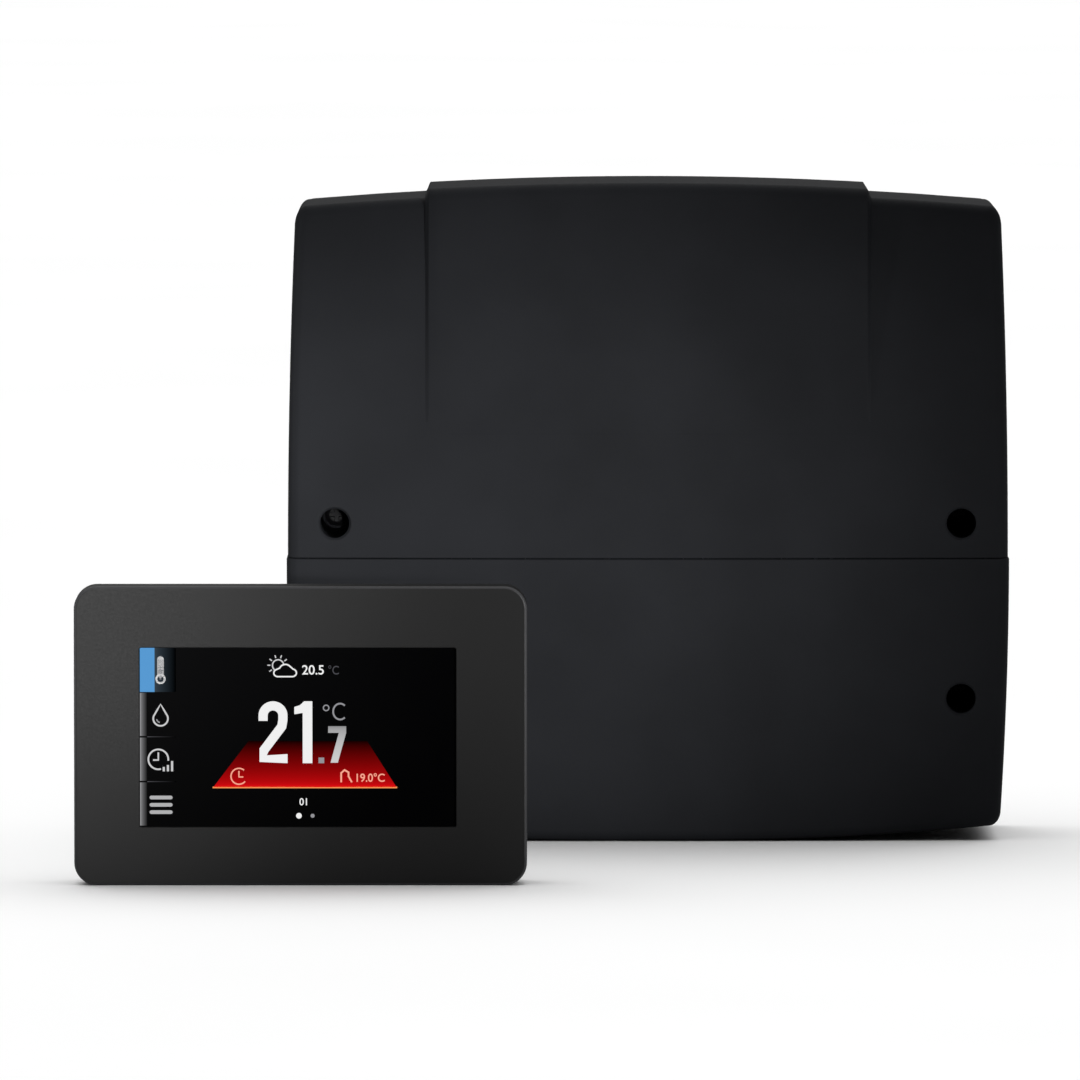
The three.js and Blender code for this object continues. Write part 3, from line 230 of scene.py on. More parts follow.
def circuit_board(name, color):
    """Solder mask over straight copper tracks that come and go."""
    material, nodes, links, shader = new_material(name)
    place = nodes.new("ShaderNodeTexCoord")
    swap = nodes.new("ShaderNodeMapping")
    swap.inputs["Rotation"].default_value = (math.pi / 2, 0, 0)
    links.new(place.outputs["Object"], swap.inputs["Vector"])
    tracks = nodes.new("ShaderNodeTexBrick")
    tracks.inputs["Scale"].default_value = 90.0
    tracks.inputs["Mortar Size"].default_value = 0.035
    tracks.inputs["Mortar Smooth"].default_value = 0.3
    tracks.inputs["Brick Width"].default_value = 1.7
    tracks.inputs["Row Height"].default_value = 0.22
    tracks.inputs["Color1"].default_value = (0, 0, 0, 1)
    tracks.inputs["Color2"].default_value = (0.25, 0.25, 0.25, 1)
    tracks.inputs["Mortar"].default_value = (1, 1, 1, 1)
    links.new(swap.outputs["Vector"], tracks.inputs["Vector"])
    gate = noise(nodes, links, 60.0, 0.0)
    mixed = nodes.new("ShaderNodeMath")
    mixed.operation = "MULTIPLY"
    links.new(tracks.outputs["Color"], mixed.inputs[0])
    links.new(remap(nodes, links, gate, 0.0, 1.0), mixed.inputs[1])
    tone = ramp(nodes, links, mixed.outputs["Value"], color, scaled(color, 1.9), 0.1, 0.8)
    links.new(tone, shader.inputs["Base Color"])
    links.new(bump(nodes, links, mixed.outputs["Value"], 0.00004), shader.inputs["Normal"])
    shader.inputs["Roughness"].default_value = 0.34
    return material


def screen_glass(name):
    """Black printed glass with the faintest smears."""
    material, nodes, links, shader = new_material(name)
    smears = noise(nodes, links, 35.0, 4.0, 0.6, (1, 1, 0.4))
    tone = ramp(nodes, links, smears, (0.0002, 0.0002, 0.0003), (0.0004, 0.0004, 0.0005))
    links.new(tone, shader.inputs["Base Color"])
    links.new(remap(nodes, links, smears, 0.34, 0.4), shader.inputs["Roughness"])
    shader.inputs["Specular IOR Level"].default_value = 0.003
    return material


def lit(name, color, edge=None, axis=0, start=0.0, end=1.0):
    """A lit shape on the display that can fade to an edge colour along an object axis."""
    material, nodes, links, shader = new_material(name)
    shader.inputs["Roughness"].default_value = 0.9
    shader.inputs["Specular IOR Level"].default_value = 0.0
    shader.inputs["Emission Strength"].default_value = 1.0
    shader.inputs["Base Color"].default_value = (0, 0, 0, 1)
    place = nodes.new("ShaderNodeTexCoord")
    grid = nodes.new("ShaderNodeTexChecker")  # the dots of the display
    grid.inputs["Scale"].default_value = 10000.0
    grid.inputs["Color1"].default_value = (*scaled(color, 0.94), 1)
    grid.inputs["Color2"].default_value = (*color, 1)
    links.new(place.outputs["Object"], grid.inputs["Vector"])
    source = grid.outputs["Color"]
    if edge:
        parts = nodes.new("ShaderNodeSeparateXYZ")
        links.new(place.outputs["Object"], parts.inputs["Vector"])
        share = nodes.new("ShaderNodeMapRange")
        share.inputs["From Min"].default_value = start
        share.inputs["From Max"].default_value = end
        links.new(parts.outputs[axis], share.inputs["Value"])
        curve = nodes.new("ShaderNodeMath")
        curve.operation = "POWER"
        curve.inputs[1].default_value = GLOW_CURVE
        links.new(share.outputs["Result"], curve.inputs[0])
        node = nodes.new("ShaderNodeMix")
        node.data_type = "RGBA"
        node.inputs["B"].default_value = (*edge, 1)
        links.new(curve.outputs["Value"], node.inputs["Factor"])
        links.new(source, node.inputs["A"])
        source = node.outputs["Result"]
    links.new(source, shader.inputs["Emission Color"])
    return material


case_black = plastic("case_black", (0.007, 0.0074, 0.0085), 0.62, specular=0.03)
panel_black = plastic("panel_black", (0.0062, 0.0062, 0.0062), 0.45, 1400.0, 0.000012, 0.05, specular=0.04)
# the bezel's outer chamfer is the bezel plastic painted three times lighter: a painted highlight along the
# rim, where the edge catches the light
panel_edge_highlight = plastic("panel_edge_highlight", (0.018, 0.018, 0.019), 0.4, 1400.0, 0.000008, 0.05, specular=0.08)
plate_black = plastic("plate_black", (0.014, 0.014, 0.015), 0.6)
base_black = plastic("base_black", (0.010, 0.010, 0.011), 0.5, specular=0.2)
block_black = plastic("block_black", (0.013, 0.013, 0.014), 0.45)
relay_blue = plastic("relay_blue", (0.012, 0.042, 0.15), 0.38, grain=1600.0, grain_depth=0.00001)
varistor_blue = plastic("varistor_blue", (0.012, 0.055, 0.2), 0.3, grain=300.0, grain_depth=0.00005)
film_yellow = plastic("film_yellow", (0.36, 0.21, 0.02), 0.4, grain=1200.0, grain_depth=0.00001)
terminal_green = plastic("terminal_green", (0.022, 0.13, 0.045), 0.5)
terminal_grey = plastic("terminal_grey", (0.13, 0.14, 0.15), 0.5)
clamp_grey = plastic("clamp_grey", (0.10, 0.105, 0.115), 0.6)
screw_steel = metal("screw_steel", (0.62, 0.63, 0.65), 0.32)
screw_black = plastic("screw_black", (0.004, 0.004, 0.0045), 0.4, specular=0.04)
brass = metal("brass", (0.66, 0.45, 0.14), 0.3, (1, 8, 8))
tinned = metal("tinned", (0.72, 0.72, 0.7), 0.28)
board_green = circuit_board("board_green", (0.006, 0.042, 0.016))
ceramic = plastic("ceramic", (0.36, 0.25, 0.15), 0.45, 2000.0)
lamp_white = plastic("lamp_white", (0.7, 0.7, 0.62), 0.25, 2000.0)
glass_black = screen_glass("glass_black")

MATERIAL_NODES = (
    (base_black, "module_base"),
    (case_black, "upper_cover", "terminal_cover"),
    (screw_black, "cover_screw"),
    (board_green, "main_board", "logic_board", "panel_board"),
    (relay_blue, "relay"),
    (varistor_blue, "varistor"),
    (film_yellow, "film_capacitor"),
    (block_black, "mains_transformer", "storage_capacitor", "output_capacitor", "board_link", "buzzer"),
    (block_black, "fuse_holder", "fuse_cap"),
    (terminal_green, "mains_header", "mains_plug", "panel_socket", "panel_plug"),
    (terminal_grey, "sensor_header", "sensor_plug"),
    (clamp_grey, "mains_clamp_bar", "sensor_clamp_bar"),
    (screw_steel, "board_screw", "mains_clamp_screw", "sensor_clamp_screw", "panel_screw", "clock_battery"),
    (brass, "board_spacer", "earth_bar"),
    (tinned, "fuse", "lcd_module"),
    (panel_black, "panel_bezel"),
    (plate_black, "panel_back", "wall_plate"),
    (glass_black, "touch_glass"),
)


def material_of(node):
    """The material of the first listed name that a node has, on its own or with a number or place added."""
    for material, *names in MATERIAL_NODES:
        if any(node == name or node.startswith(name + "_") for name in names):
            return material
    raise ValueError(node)


def smooth_by_angle(degrees):
    """Modifier nodes that shade faces smooth and keep edges sharper than an angle sharp."""
    group = bpy.data.node_groups.new("smooth by angle", "GeometryNodeTree")
    group.interface.new_socket("Geometry", in_out="INPUT", socket_type="NodeSocketGeometry")
    group.interface.new_socket("Geometry", in_out="OUTPUT", socket_type="NodeSocketGeometry")
    start = group.nodes.new("NodeGroupInput")
    end = group.nodes.new("NodeGroupOutput")
    faces = group.nodes.new("GeometryNodeSetShadeSmooth")
    edges = group.nodes.new("GeometryNodeSetShadeSmooth")
    edges.domain = "EDGE"
    turn = group.nodes.new("GeometryNodeInputMeshEdgeAngle")
    below = group.nodes.new("FunctionNodeCompare")
    below.operation = "LESS_EQUAL"
    below.inputs[1].default_value = math.radians(degrees)
    group.links.new(start.outputs[0], faces.inputs[0])
    group.links.new(faces.outputs[0], edges.inputs[0])
    group.links.new(turn.outputs[0], below.inputs[0])
    group.links.new(below.outputs[0], edges.inputs["Shade Smooth"])
    group.links.new(edges.outputs[0], end.inputs[0])
    return group


SMOOTHING = smooth_by_angle(36)


def soften(piece, width, segments=2):
    """Rounds the hard edges of a CAD piece with modifiers, so that they catch the light."""
    weld = piece.modifiers.new("weld", "WELD")
    weld.merge_threshold = 0.000002
    bevel = piece.modifiers.new("bevel", "BEVEL")
    bevel.width = width
    bevel.segments = segments
    bevel.limit_method = "ANGLE"
    bevel.angle_limit = math.radians(35)
    piece.modifiers.new("smooth", "NODES").node_group = SMOOTHING
    piece.modifiers.new("flat faces", "WEIGHTED_NORMAL").keep_sharp = True


for name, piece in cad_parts.items():
    piece.data.materials.clear()
    piece.data.materials.append(material_of(name))


# ---- mesh helpers
def between(start, end, steps):
    return [start + (end - start) * i / steps for i in range(steps + 1)]


def new_piece(name, mesh, material=None):
    piece = bpy.data.objects.new(name, mesh)
    bpy.context.collection.objects.link(piece)
    if material:
        mesh.materials.append(material)
    return piece


def loft(name, rings, closed=False):
    """A skin through rings of equally many points, capped at both ends or closed on itself."""
    mesh = bmesh.new()
    rows = [[mesh.verts.new(point) for point in ring] for ring in rings]
    count = len(rows[0])
    pairs = list(zip(rows, rows[1:])) + ([(rows[-1], rows[0])] if closed else [])
    for low, high in pairs:
        for i in range(count):
            j = (i + 1) % count
            mesh.faces.new((low[i], low[j], high[j], high[i]))
    if not closed:
        mesh.faces.new(rows[0])
        mesh.faces.new(rows[-1])
    bmesh.ops.recalc_face_normals(mesh, faces=mesh.faces)
    data = bpy.data.meshes.new(name)
    mesh.to_mesh(data)
    mesh.free()
    return new_piece(name, data)


def merged(name, pieces):
    """One object that holds several meshes; they mustn't cross if it is used as a tool."""
    mesh = bmesh.new()
    for piece in pieces:
        piece.data.transform(piece.matrix_world)
        mesh.from_mesh(piece.data)
        bpy.data.objects.remove(piece)
    data = bpy.data.meshes.new(name)
    mesh.to_mesh(data)
    mesh.free()
    return new_piece(name, data)


def boolean(piece, tools, operation):
    """Joins, cuts or intersects the piece with a tool, or with several that lie apart."""
    tool = merged("tool", tools) if isinstance(tools, list) else tools
    modifier = piece.modifiers.new("boolean", "BOOLEAN")
    modifier.object = tool
    modifier.operation = operation
    modifier.solver = "MANIFOLD"
    graph = bpy.context.evaluated_depsgraph_get()
    mesh = bpy.data.meshes.new_from_object(piece.evaluated_get(graph))
    piece.modifiers.clear()
    piece.data = mesh
    bpy.data.objects.remove(tool)


def block(x0, x1, y0, y1, z0, z1):
    rings = [[(x0, y, z0), (x1, y, z0), (x1, y, z1), (x0, y, z1)] for y in (y0, y1)]
    return loft("block", rings)


def turned(profile, x, z, sides=48):
    """A turned piece along Y through (x, z), from [radius, y] pairs."""
    turn = [2 * math.pi * i / sides for i in range(sides)]
    rings = [[(x + r * math.cos(a), y, z + r * math.sin(a)) for a in turn] for r, y in profile]
    return loft("turned", rings)


def paint(piece, *materials):
    """Gives the piece these materials alone, with the first on every face."""
    piece.data.materials.clear()
    for material in materials:
        piece.data.materials.append(material)
    for face in piece.data.polygons:
        face.material_index = 0


def shade(piece, angle):
    """Shades the piece smooth, but for edges sharper than an angle in degrees."""
    for face in piece.data.polygons:
        face.use_smooth = True
    piece.data.set_sharp_from_angle(angle=math.radians(angle))


def faded(normal, point):
    """Lets the foot of the raised field run out into the case's front without a crease."""
    foot = MODULE_HEIGHT - RAISED_DROP
    rise = (point.z - foot) / RAISED_FADE
    x = point.x - MODULE_X
    if rise < -0.02 or rise > 1 or abs(x) > RAISED_WIDTH / 2 + RAISED_EDGE:
        return normal
    rise = max(rise, 0)
    share = rise * rise * (3 - 2 * rise)
    slope_x = front_y(x + 0.0005, point.z) - front_y(x - 0.0005, point.z)
    slope_z = front_y(x, point.z + 0.0005) - front_y(x, point.z - 0.0005)
    plain = Vector((slope_x, -0.001, slope_z)).normalized()
    return (plain * (1 - share) + normal * share).normalized()


def copy_normals(piece, sources, reach=0.00006):
    """Gives what still lies on one of the sources that source's smooth normals."""
    shapes = [source.data for source in sources]
    trees = [
        BVHTree.FromPolygons([v.co for v in shape.vertices], [f.vertices for f in shape.polygons])
        for shape in shapes
    ]
    mesh = piece.data
    normals = [Vector(n.vector) for n in mesh.corner_normals]
    for face in mesh.polygons:
        found = []
        for tree, shape in zip(trees, shapes):
            place, normal, _, distance = tree.find_nearest(face.center)
            if place and distance < reach and normal.dot(face.normal) > 0.8:
                found.append((distance, tree, shape))
        if not found:
            continue
        _, tree, shape = min(found, key=lambda item: item[0])
        facing_front = face.normal.y < -0.98
        for corner in face.loop_indices:
            point = mesh.vertices[mesh.loops[corner].vertex_index].co
            place, normal, index, distance = tree.find_nearest(point)
            if distance > reach or normal.dot(face.normal) < 0.6:
                continue
            flat = shape.polygons[index]
            weights = poly_3d_calc([shape.vertices[v].co for v in flat.vertices], place)
            known = [shape.corner_normals[i].vector for i in flat.loop_indices]
            smooth = sum((n * w for n, w in zip(known, weights)), Vector()).normalized()
            if smooth.dot(face.normal) > 0.7:
                normals[corner] = faded(smooth, point) if facing_front else smooth
    mesh.normals_split_custom_set(normals)
    for source in sources:
        bpy.data.objects.remove(source)


def twin(piece):
    """A smoothly shaded copy of the piece, to copy normals from later."""
    copy = piece.copy()
    copy.data = piece.data.copy()
    shade(copy, 40)
    return copy


# ---- module case surfaces
def half_width(z):
    if z > SPLIT_Z:
        return MODULE_WIDTH / 2 - UPPER_NARROWING * ((z - SPLIT_Z) / (MODULE_HEIGHT - SPLIT_Z)) ** 2
    return MODULE_WIDTH / 2 - LOWER_NARROWING * (1 - z / SPLIT_Z) ** 2


def top_edge(x):
    return MODULE_HEIGHT - TOP_CROWN * (x / CROWN_HALF) ** 2


def bottom_edge(x):
    return BOTTOM_CROWN * (max(0.0, abs(x) - FOOT_HALF) / (CROWN_HALF - FOOT_HALF)) ** 2


def front_y(x, z):
    across = FRONT_CROWN_X * (2 * x / MODULE_WIDTH) ** 2
    along = FRONT_CROWN_Z * ((z - SPLIT_Z) / (MODULE_HEIGHT - SPLIT_Z)) ** 2
    return WALL_Y - MODULE_DEPTH + across + along


def round_corner(start, corner, end, steps):
    """Points of a quarter ellipse between two edges' ends."""
    points = []
    for i in range(1, steps):
        turn = i / steps * math.pi / 2
        points.append(
            tuple(
                c + (a - c) * (1 - math.sin(turn)) + (b - c) * (1 - math.cos(turn))
                for a, c, b in zip(start, corner, end)
            )
        )
    return points


def rounded_loop(edges, steps):
    """An outline of four edges, right, top, left and bottom, with rounded corners between them."""
    loop = []
    for i, edge in enumerate(edges):
        after = edges[(i + 1) % 4]
        end, start = edge[-1], after[0]
        corner = (start[0], end[1]) if i % 2 else (end[0], start[1])
        loop += edge + round_corner(end, corner, start, steps)
    return loop


def case_outline(inset, step=0.0):
    """The case's outline about x = 0, drawn in by an inset all round and by a step at the sides."""

    def side(z):
        return half_width(z) - step - inset

    top_x = side(MODULE_HEIGHT - TOP_CROWN) - TOP_CORNER[0]
    bottom_x = side(BOTTOM_CROWN) - BOTTOM_CORNER[0]
    low_z = bottom_edge(bottom_x) + inset + BOTTOM_CORNER[1]
    high_z = top_edge(top_x) - inset - TOP_CORNER[1]
    side_z = between(low_z, SPLIT_Z, 16) + between(SPLIT_Z, high_z, 20)[1:]
    edges = [
        [(side(z), z) for z in side_z],
        [(x, top_edge(x) - inset) for x in between(top_x, -top_x, 56)],
        [(-side(z), z) for z in reversed(side_z)],
        [
            (x, bottom_edge(x) + inset)
            for x in between(-bottom_x, -FOOT_HALF, 20) + between(FOOT_HALF, bottom_x, 20)
        ],
    ]
    return rounded_loop(edges, 10)


def case_ring(outline, level):
    """The outline at a depth that a function of x and z gives."""
    return [(MODULE_X + x, level(x, z), z) for x, z in outline]


def pillow(inset, step, back_y, name="pillow"):
    """The case as a filled pillow forward of back_y, drawn in by an inset on every face."""
    fillet = max(EDGE_FILLET - inset, 0.001)
    rings = [case_ring(case_outline(inset, step), lambda x, z: back_y)]
    for turn in between(0, math.pi / 2, 8):
        outline = case_outline(inset + fillet * (1 - math.cos(turn)), step)
        depth = fillet * (1 - math.sin(turn))
        rings.append(case_ring(outline, lambda x, z: front_y(x, z) + inset + depth))
    last = case_outline(inset + fillet, step)
    for share in between(0.96, 0.01, 24):
        shrunk = [(x * share, SPLIT_Z + (z - SPLIT_Z) * share) for x, z in last]
        rings.append(case_ring(shrunk, lambda x, z: front_y(x, z) + inset))
    return loft(name, rings)


def raised_section(x, rise, back_y):
    """The raised field's outline in the plane at x, where its top edge stands up by a rise."""
    foot = MODULE_HEIGHT - RAISED_DROP
    top = top_edge(x) + rise
    shoulder = top - RAISED_FILLET
    heights = [foot - 0.003, *between(foot, shoulder, 40)]
    shares = [(z - foot) / (shoulder - foot) for z in heights]
    # the field starts a hair inside the case and crosses its front just above the foot
    sunk = [0.00003 if share > 0 else 0.0004 for share in shares]
    section = [(front_y(x, z) - rise * share + in_y, z) for z, share, in_y in zip(heights, shares, sunk)]
    edge_y = front_y(x, shoulder) - rise + 0.00003
    for turn in between(0, math.pi / 2, 10)[1:]:
        place = (edge_y + RAISED_FILLET * (1 - math.cos(turn)), shoulder + RAISED_FILLET * math.sin(turn))
        section.append(place)
    inner_y = front_y(x, foot) + 3 * CASE_WALL
    inner_z = top_edge(x) - 3 * CASE_WALL
    section += [(back_y, top), (back_y, inner_z), (inner_y, inner_z), (inner_y, foot - 0.003)]
    return [(MODULE_X + x, y, z) for y, z in section]


def raised_field(back_y):
    """The raised middle field of the upper cover, as a wedge that reaches into the case."""
    half = RAISED_WIDTH / 2
    right = []
    for share in between(0, 1, 10):
        fall = share * share * (3 - 2 * share)
        right.append((half + RAISED_EDGE * (2 * share - 1), RAISED_RISE * (1 - fall)))
    right[-1] = (right[-1][0], -0.0002)
    middle = [(x, RAISED_RISE) for x in between(-half + 0.004, half - 0.004, 32)]
    columns = [(-x, rise) for x, rise in reversed(right)] + middle + right
    return loft("raised", [raised_section(x, rise, back_y) for x, rise in columns])


# ---- module covers
def screw_place(screw):
    """A screw's axis, as x and z, and its front."""
    low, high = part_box(screw)
    return (low.x + high.x) / 2, (low.z + high.z) / 2, low.y


def add_wells(cover, screws):
    tubes, bores, holes = [], [], []
    for screw in screws:
        x, z, head_y = screw_place(screw)
        seat = head_y + SCREW_HEAD
        mouth = front_y(x - MODULE_X, z)
        radius = WELL_RADIUS + WELL_WALL
        tubes.append(turned([(radius, mouth + CASE_WALL / 2), (radius, seat + WELL_FLOOR)], x, z))
        lip = [(WELL_RADIUS + WELL_LIP, -FAR), (WELL_RADIUS + WELL_LIP, mouth + 0.0001)]
        wall = [(WELL_RADIUS, mouth + WELL_LIP + 0.0001), (WELL_RADIUS - 0.0001, seat - 0.0003)]
        bores.append(turned([*lip, *wall, (WELL_RADIUS - 0.0004, seat)], x, z))
        holes.append(turned([(SCREW_HOLE, seat - 0.001), (SCREW_HOLE, seat + 0.01)], x, z, 32))
    boolean(cover, tubes, "UNION")
    boolean(cover, bores, "DIFFERENCE")
    boolean(cover, holes, "DIFFERENCE")


def split_groove(step):
    """A tool that takes the sharp edge off both covers where they meet."""
    depth = 0.00025
    reach = 0.0004
    back_y = COVER_BACK_Y + 0.01
    heights = [-reach, -SPLIT_GAP / 2, SPLIT_GAP / 2, reach]
    insets = [-0.00002, depth, depth, -0.00002]
    rings = []
    for height, inset in zip(heights, insets):
        z = SPLIT_Z + height
        half = half_width(z) - step - inset
        fillet = EDGE_FILLET - inset
        corner = [
            (half - fillet * (1 - math.cos(turn)), fillet * (1 - math.sin(turn)))
            for turn in between(0, math.pi / 2, 12)
        ]
        across = [(x, 0) for x in between(half - fillet, fillet - half, 60)[1:-1]]
        profile = corner + across + [(-x, y) for x, y in reversed(corner)]
        ring = [(MODULE_X + x, front_y(x, z) + inset + y, z) for x, y in profile]
        rings.append([(MODULE_X + half, back_y, z), *ring, (MODULE_X - half, back_y, z)])
    tall = reach - 0.00001
    tool = block(-FAR, FAR, -FAR, back_y - 0.001, SPLIT_Z - tall, SPLIT_Z + tall)
    boolean(tool, loft("core", rings), "DIFFERENCE")
    return tool


def inner_ribs(cover, low_z, high_z):
    """Low stiffening ribs across the inside of a cover's front."""
    ribs = []
    for x in between(-RIB_SPAN, RIB_SPAN, round(2 * RIB_SPAN / RIB_PITCH)):
        sides = (MODULE_X + x - RIB_HALF, MODULE_X + x + RIB_HALF)
        y = front_y(x, (low_z + high_z) / 2) + CASE_WALL
        ribs.append(block(*sides, y - RIB_ROOT, y + RIB_RISE, low_z, high_z))
    boolean(cover, ribs, "UNION")


def finish_cover(cover, sources, node):
    """Smooths and paints a cover, and has it take the place of the CAD cover."""
    shade(cover, 28)
    copy_normals(cover, sources)
    paint(cover, case_black)
    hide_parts(node)
    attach(cover, node)


def make_upper_cover():
    cover = pillow(0, COVER_STEP, COVER_BACK_Y, "upper_shell")
    field = raised_field(COVER_BACK_Y)
    sources = [twin(cover), twin(field)]
    boolean(cover, field, "UNION")
    boolean(cover, pillow(CASE_WALL, COVER_STEP, COVER_BACK_Y + 0.004), "DIFFERENCE")
    boolean(cover, split_groove(COVER_STEP), "DIFFERENCE")
    above = block(-FAR, FAR, -FAR, FAR, SPLIT_Z + SPLIT_GAP / 2, FAR)
    boolean(cover, above, "INTERSECT")
    add_wells(cover, ["cover_screw_upper_left", "cover_screw_upper_right"])
    inner_ribs(cover, SPLIT_Z + 0.006, MODULE_HEIGHT - 0.02)
    hooks = []
    for x in (-HOOK_X, HOOK_X):
        sides = (MODULE_X + x - HOOK_HALF, MODULE_X + x + HOOK_HALF)
        root = top_edge(x) - CASE_WALL / 2
        tip = top_edge(x) - CASE_WALL - HOOK_DROP
        hooks.append(block(*sides, COVER_BACK_Y - 0.0042, COVER_BACK_Y - 0.0015, tip, root))
    boolean(cover, hooks, "UNION")
    finish_cover(cover, sources, "upper_cover")


def make_terminal_cover():
    cover = pillow(0, 0, COVER_BACK_Y, "terminal_shell")
    sources = [twin(cover)]
    boolean(cover, pillow(CASE_WALL, 0, COVER_BACK_Y + 0.004), "DIFFERENCE")
    boolean(cover, split_groove(0), "DIFFERENCE")
    below = block(-FAR, FAR, -FAR, FAR, -FAR, SPLIT_Z - SPLIT_GAP / 2)
    boolean(cover, below, "INTERSECT")
    entry_half = MODULE_WIDTH / 2 - ENTRY_MARGIN
    sides = (MODULE_X - entry_half, MODULE_X + entry_half)
    boolean(cover, block(*sides, WALL_Y - 0.027, WALL_Y - 0.005, -0.001, 0.012), "DIFFERENCE")
    add_wells(cover, ["cover_screw_lower_left", "cover_screw_lower_right"])
    inner_ribs(cover, 0.012, SPLIT_Z - 0.006)
    finish_cover(cover, sources, "terminal_cover")


make_upper_cover()
make_terminal_cover()


# ---- touch panel
def panel_outline(inset, width=None, height=None, corner=PANEL_CORNER, x=None, z=None):
    """A rounded rectangle about the panel's middle, or of its own size and place."""
    half_x = (width or bezel_high.x - bezel_low.x) / 2 - inset
    half_z = (height or bezel_high.z - bezel_low.z) / 2 - inset
    middle_x, middle_z = PANEL_X if x is None else x, PANEL_Z if z is None else z
    radius = max(corner - inset, 0.0002)
    edges = [
        [(half_x, t) for t in between(radius - half_z, half_z - radius, 8)],
        [(t, half_z) for t in between(half_x - radius, radius - half_x, 12)],
        [(-half_x, t) for t in between(half_z - radius, radius - half_z, 8)],
        [(t, -half_z) for t in between(radius - half_x, half_x - radius, 12)],
    ]
    return [(middle_x + px, middle_z + pz) for px, pz in rounded_loop(edges, 12)]


def flat_ring(outline, depth):
    return [(x, PANEL_FRONT_Y + depth, z) for x, z in outline]


def window_outline(grow, corner=0.0006):
    width, height = WINDOW_WIDTH + 2 * grow, WINDOW_HEIGHT + 2 * grow
    return panel_outline(0, width, height, corner + max(grow, 0), WINDOW_X, WINDOW_Z)


def make_bezel():
    depth = bezel_high.y - bezel_low.y
    rings = [flat_ring(panel_outline(0), depth - 0.0002)]
    for turn in between(0, math.pi / 2, 6):
        inset = BEZEL_CHAMFER * (1 - math.cos(turn))
        rings.append(flat_ring(panel_outline(inset), BEZEL_CHAMFER * (1 - math.sin(turn))))
    for turn in between(0, math.pi / 2, 4):
        grow = WINDOW_ROUND * (1 - math.sin(turn))
        rings.append(flat_ring(window_outline(grow), WINDOW_ROUND * (1 - math.cos(turn))))
    rings.append(flat_ring(window_outline(0), WINDOW_DEPTH))
    pocket = WINDOW_GROW + 0.0003
    rings.append(flat_ring(window_outline(pocket), WINDOW_DEPTH))
    rings.append(flat_ring(window_outline(pocket), BEZEL_WALL))
    rings.append(flat_ring(panel_outline(BEZEL_WALL), BEZEL_WALL))
    rings.append(flat_ring(panel_outline(BEZEL_WALL), depth))
    rings.append(flat_ring(panel_outline(0.0002), depth))
    bezel = loft("bezel_frame", rings, closed=True)
    bosses, bores = [], []
    for i in range(1, 5):
        x, z, _ = screw_place(f"panel_screw_{i}")
        boss = [(BOSS_RADIUS, PANEL_FRONT_Y + 0.001), (BOSS_RADIUS, bezel_high.y - 0.0005)]
        bore = [(BOSS_BORE, PANEL_FRONT_Y + BEZEL_WALL + 0.001), (BOSS_BORE, bezel_high.y + 0.01)]
        bosses.append(turned(boss, x, z, 32))
        bores.append(turned(bore, x, z, 24))
    boolean(bezel, bosses, "UNION")
    boolean(bezel, bores, "DIFFERENCE")
    shade(bezel, 30)
    paint(bezel, panel_black, panel_edge_highlight)
    # the outer chamfer's faces take the lighter second material, a painted highlight round the panel's rim
    for face in bezel.data.polygons:
        outside = face.center.y < PANEL_FRONT_Y + BEZEL_CHAMFER and -0.97 < face.normal.y < -0.1
        x, z = abs(face.center.x - PANEL_X), abs(face.center.z - PANEL_Z)
        if outside and (x > WINDOW_WIDTH / 2 + 0.01 or z > WINDOW_HEIGHT / 2 + 0.01):
            face.material_index = 1
    bezel.modifiers.new("flat faces", "WEIGHTED_NORMAL").keep_sharp = True
    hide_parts("panel_bezel")
    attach(bezel, "panel_head")


make_bezel()

# ---- display content
MILLI = 0.001
UI_Y = glass_low.y - 0.00006
UI_HALF = 0.00003
UI_LIFT = 2.5 * UI_HALF  # of what lies over other shapes
SCREEN_X = 47.4  # half sizes of the display and places on it, in millimetres from its middle
SCREEN_Z = 26.9
TAB_LEFT = -43.0
TABS_RIGHT = -36.6
TAB_MIDDLE = -41.2
TAB_LINES = [13.6, 0.1, -13.4]

white = lit("ui_white", (0.9, 0.9, 0.9))
soft_white = lit("ui_soft_white", (0.62, 0.62, 0.63))
grey_light = lit("ui_grey_light", (0.45, 0.45, 0.46))
grey = lit("ui_grey", (0.30, 0.30, 0.32))
dim = lit("ui_dim", (0.07, 0.07, 0.08))


def display_piece(name, data, material):
    data.materials.append(material)
    piece = bpy.data.objects.new(name, data)
    bpy.context.collection.objects.link(piece)
    piece.location = (WINDOW_X, UI_Y, WINDOW_Z)
    piece.rotation_euler = (math.pi / 2, 0, 0)
    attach(piece, "panel_head")
    return piece


def drawing(name, shapes, material):
    """Flat outlines on the display, in millimetres from its middle; inner ones are holes."""
    data = bpy.data.curves.new(name, "CURVE")
    data.dimensions = "2D"
    data.fill_mode = "BOTH"
    data.extrude = UI_HALF
    for shape in shapes:
        spline = data.splines.new("POLY")
        spline.points.add(len(shape) - 1)
        for point, (x, z) in zip(spline.points, shape):
            point.co = (x * MILLI, z * MILLI, 0, 1)
        spline.use_cyclic_u = True
    return display_piece(name, data, material)


def words(name, text, x, z, height, material, squeeze=1.0, bold=0.0):
    """Digits and signs; height is that of a digit, and x and z are its lower left corner."""
    data = bpy.data.curves.new(name, "FONT")
    data.body = text
    data.extrude = UI_HALF
    data.offset = bold * MILLI
    data.size = height * MILLI / 0.73
    piece = display_piece(name, data, material)
    piece.location += Vector((x * MILLI, 0, z * MILLI))
    piece.scale.x = squeeze
    return piece


def disc(x, z, radius, sides=40):
    turn = [2 * math.pi * i / sides for i in range(sides)]
    return [(x + radius * math.cos(a), z + radius * math.sin(a)) for a in turn]


def ring_shape(x, z, radius, width):
    return [disc(x, z, radius), disc(x, z, radius - width)]


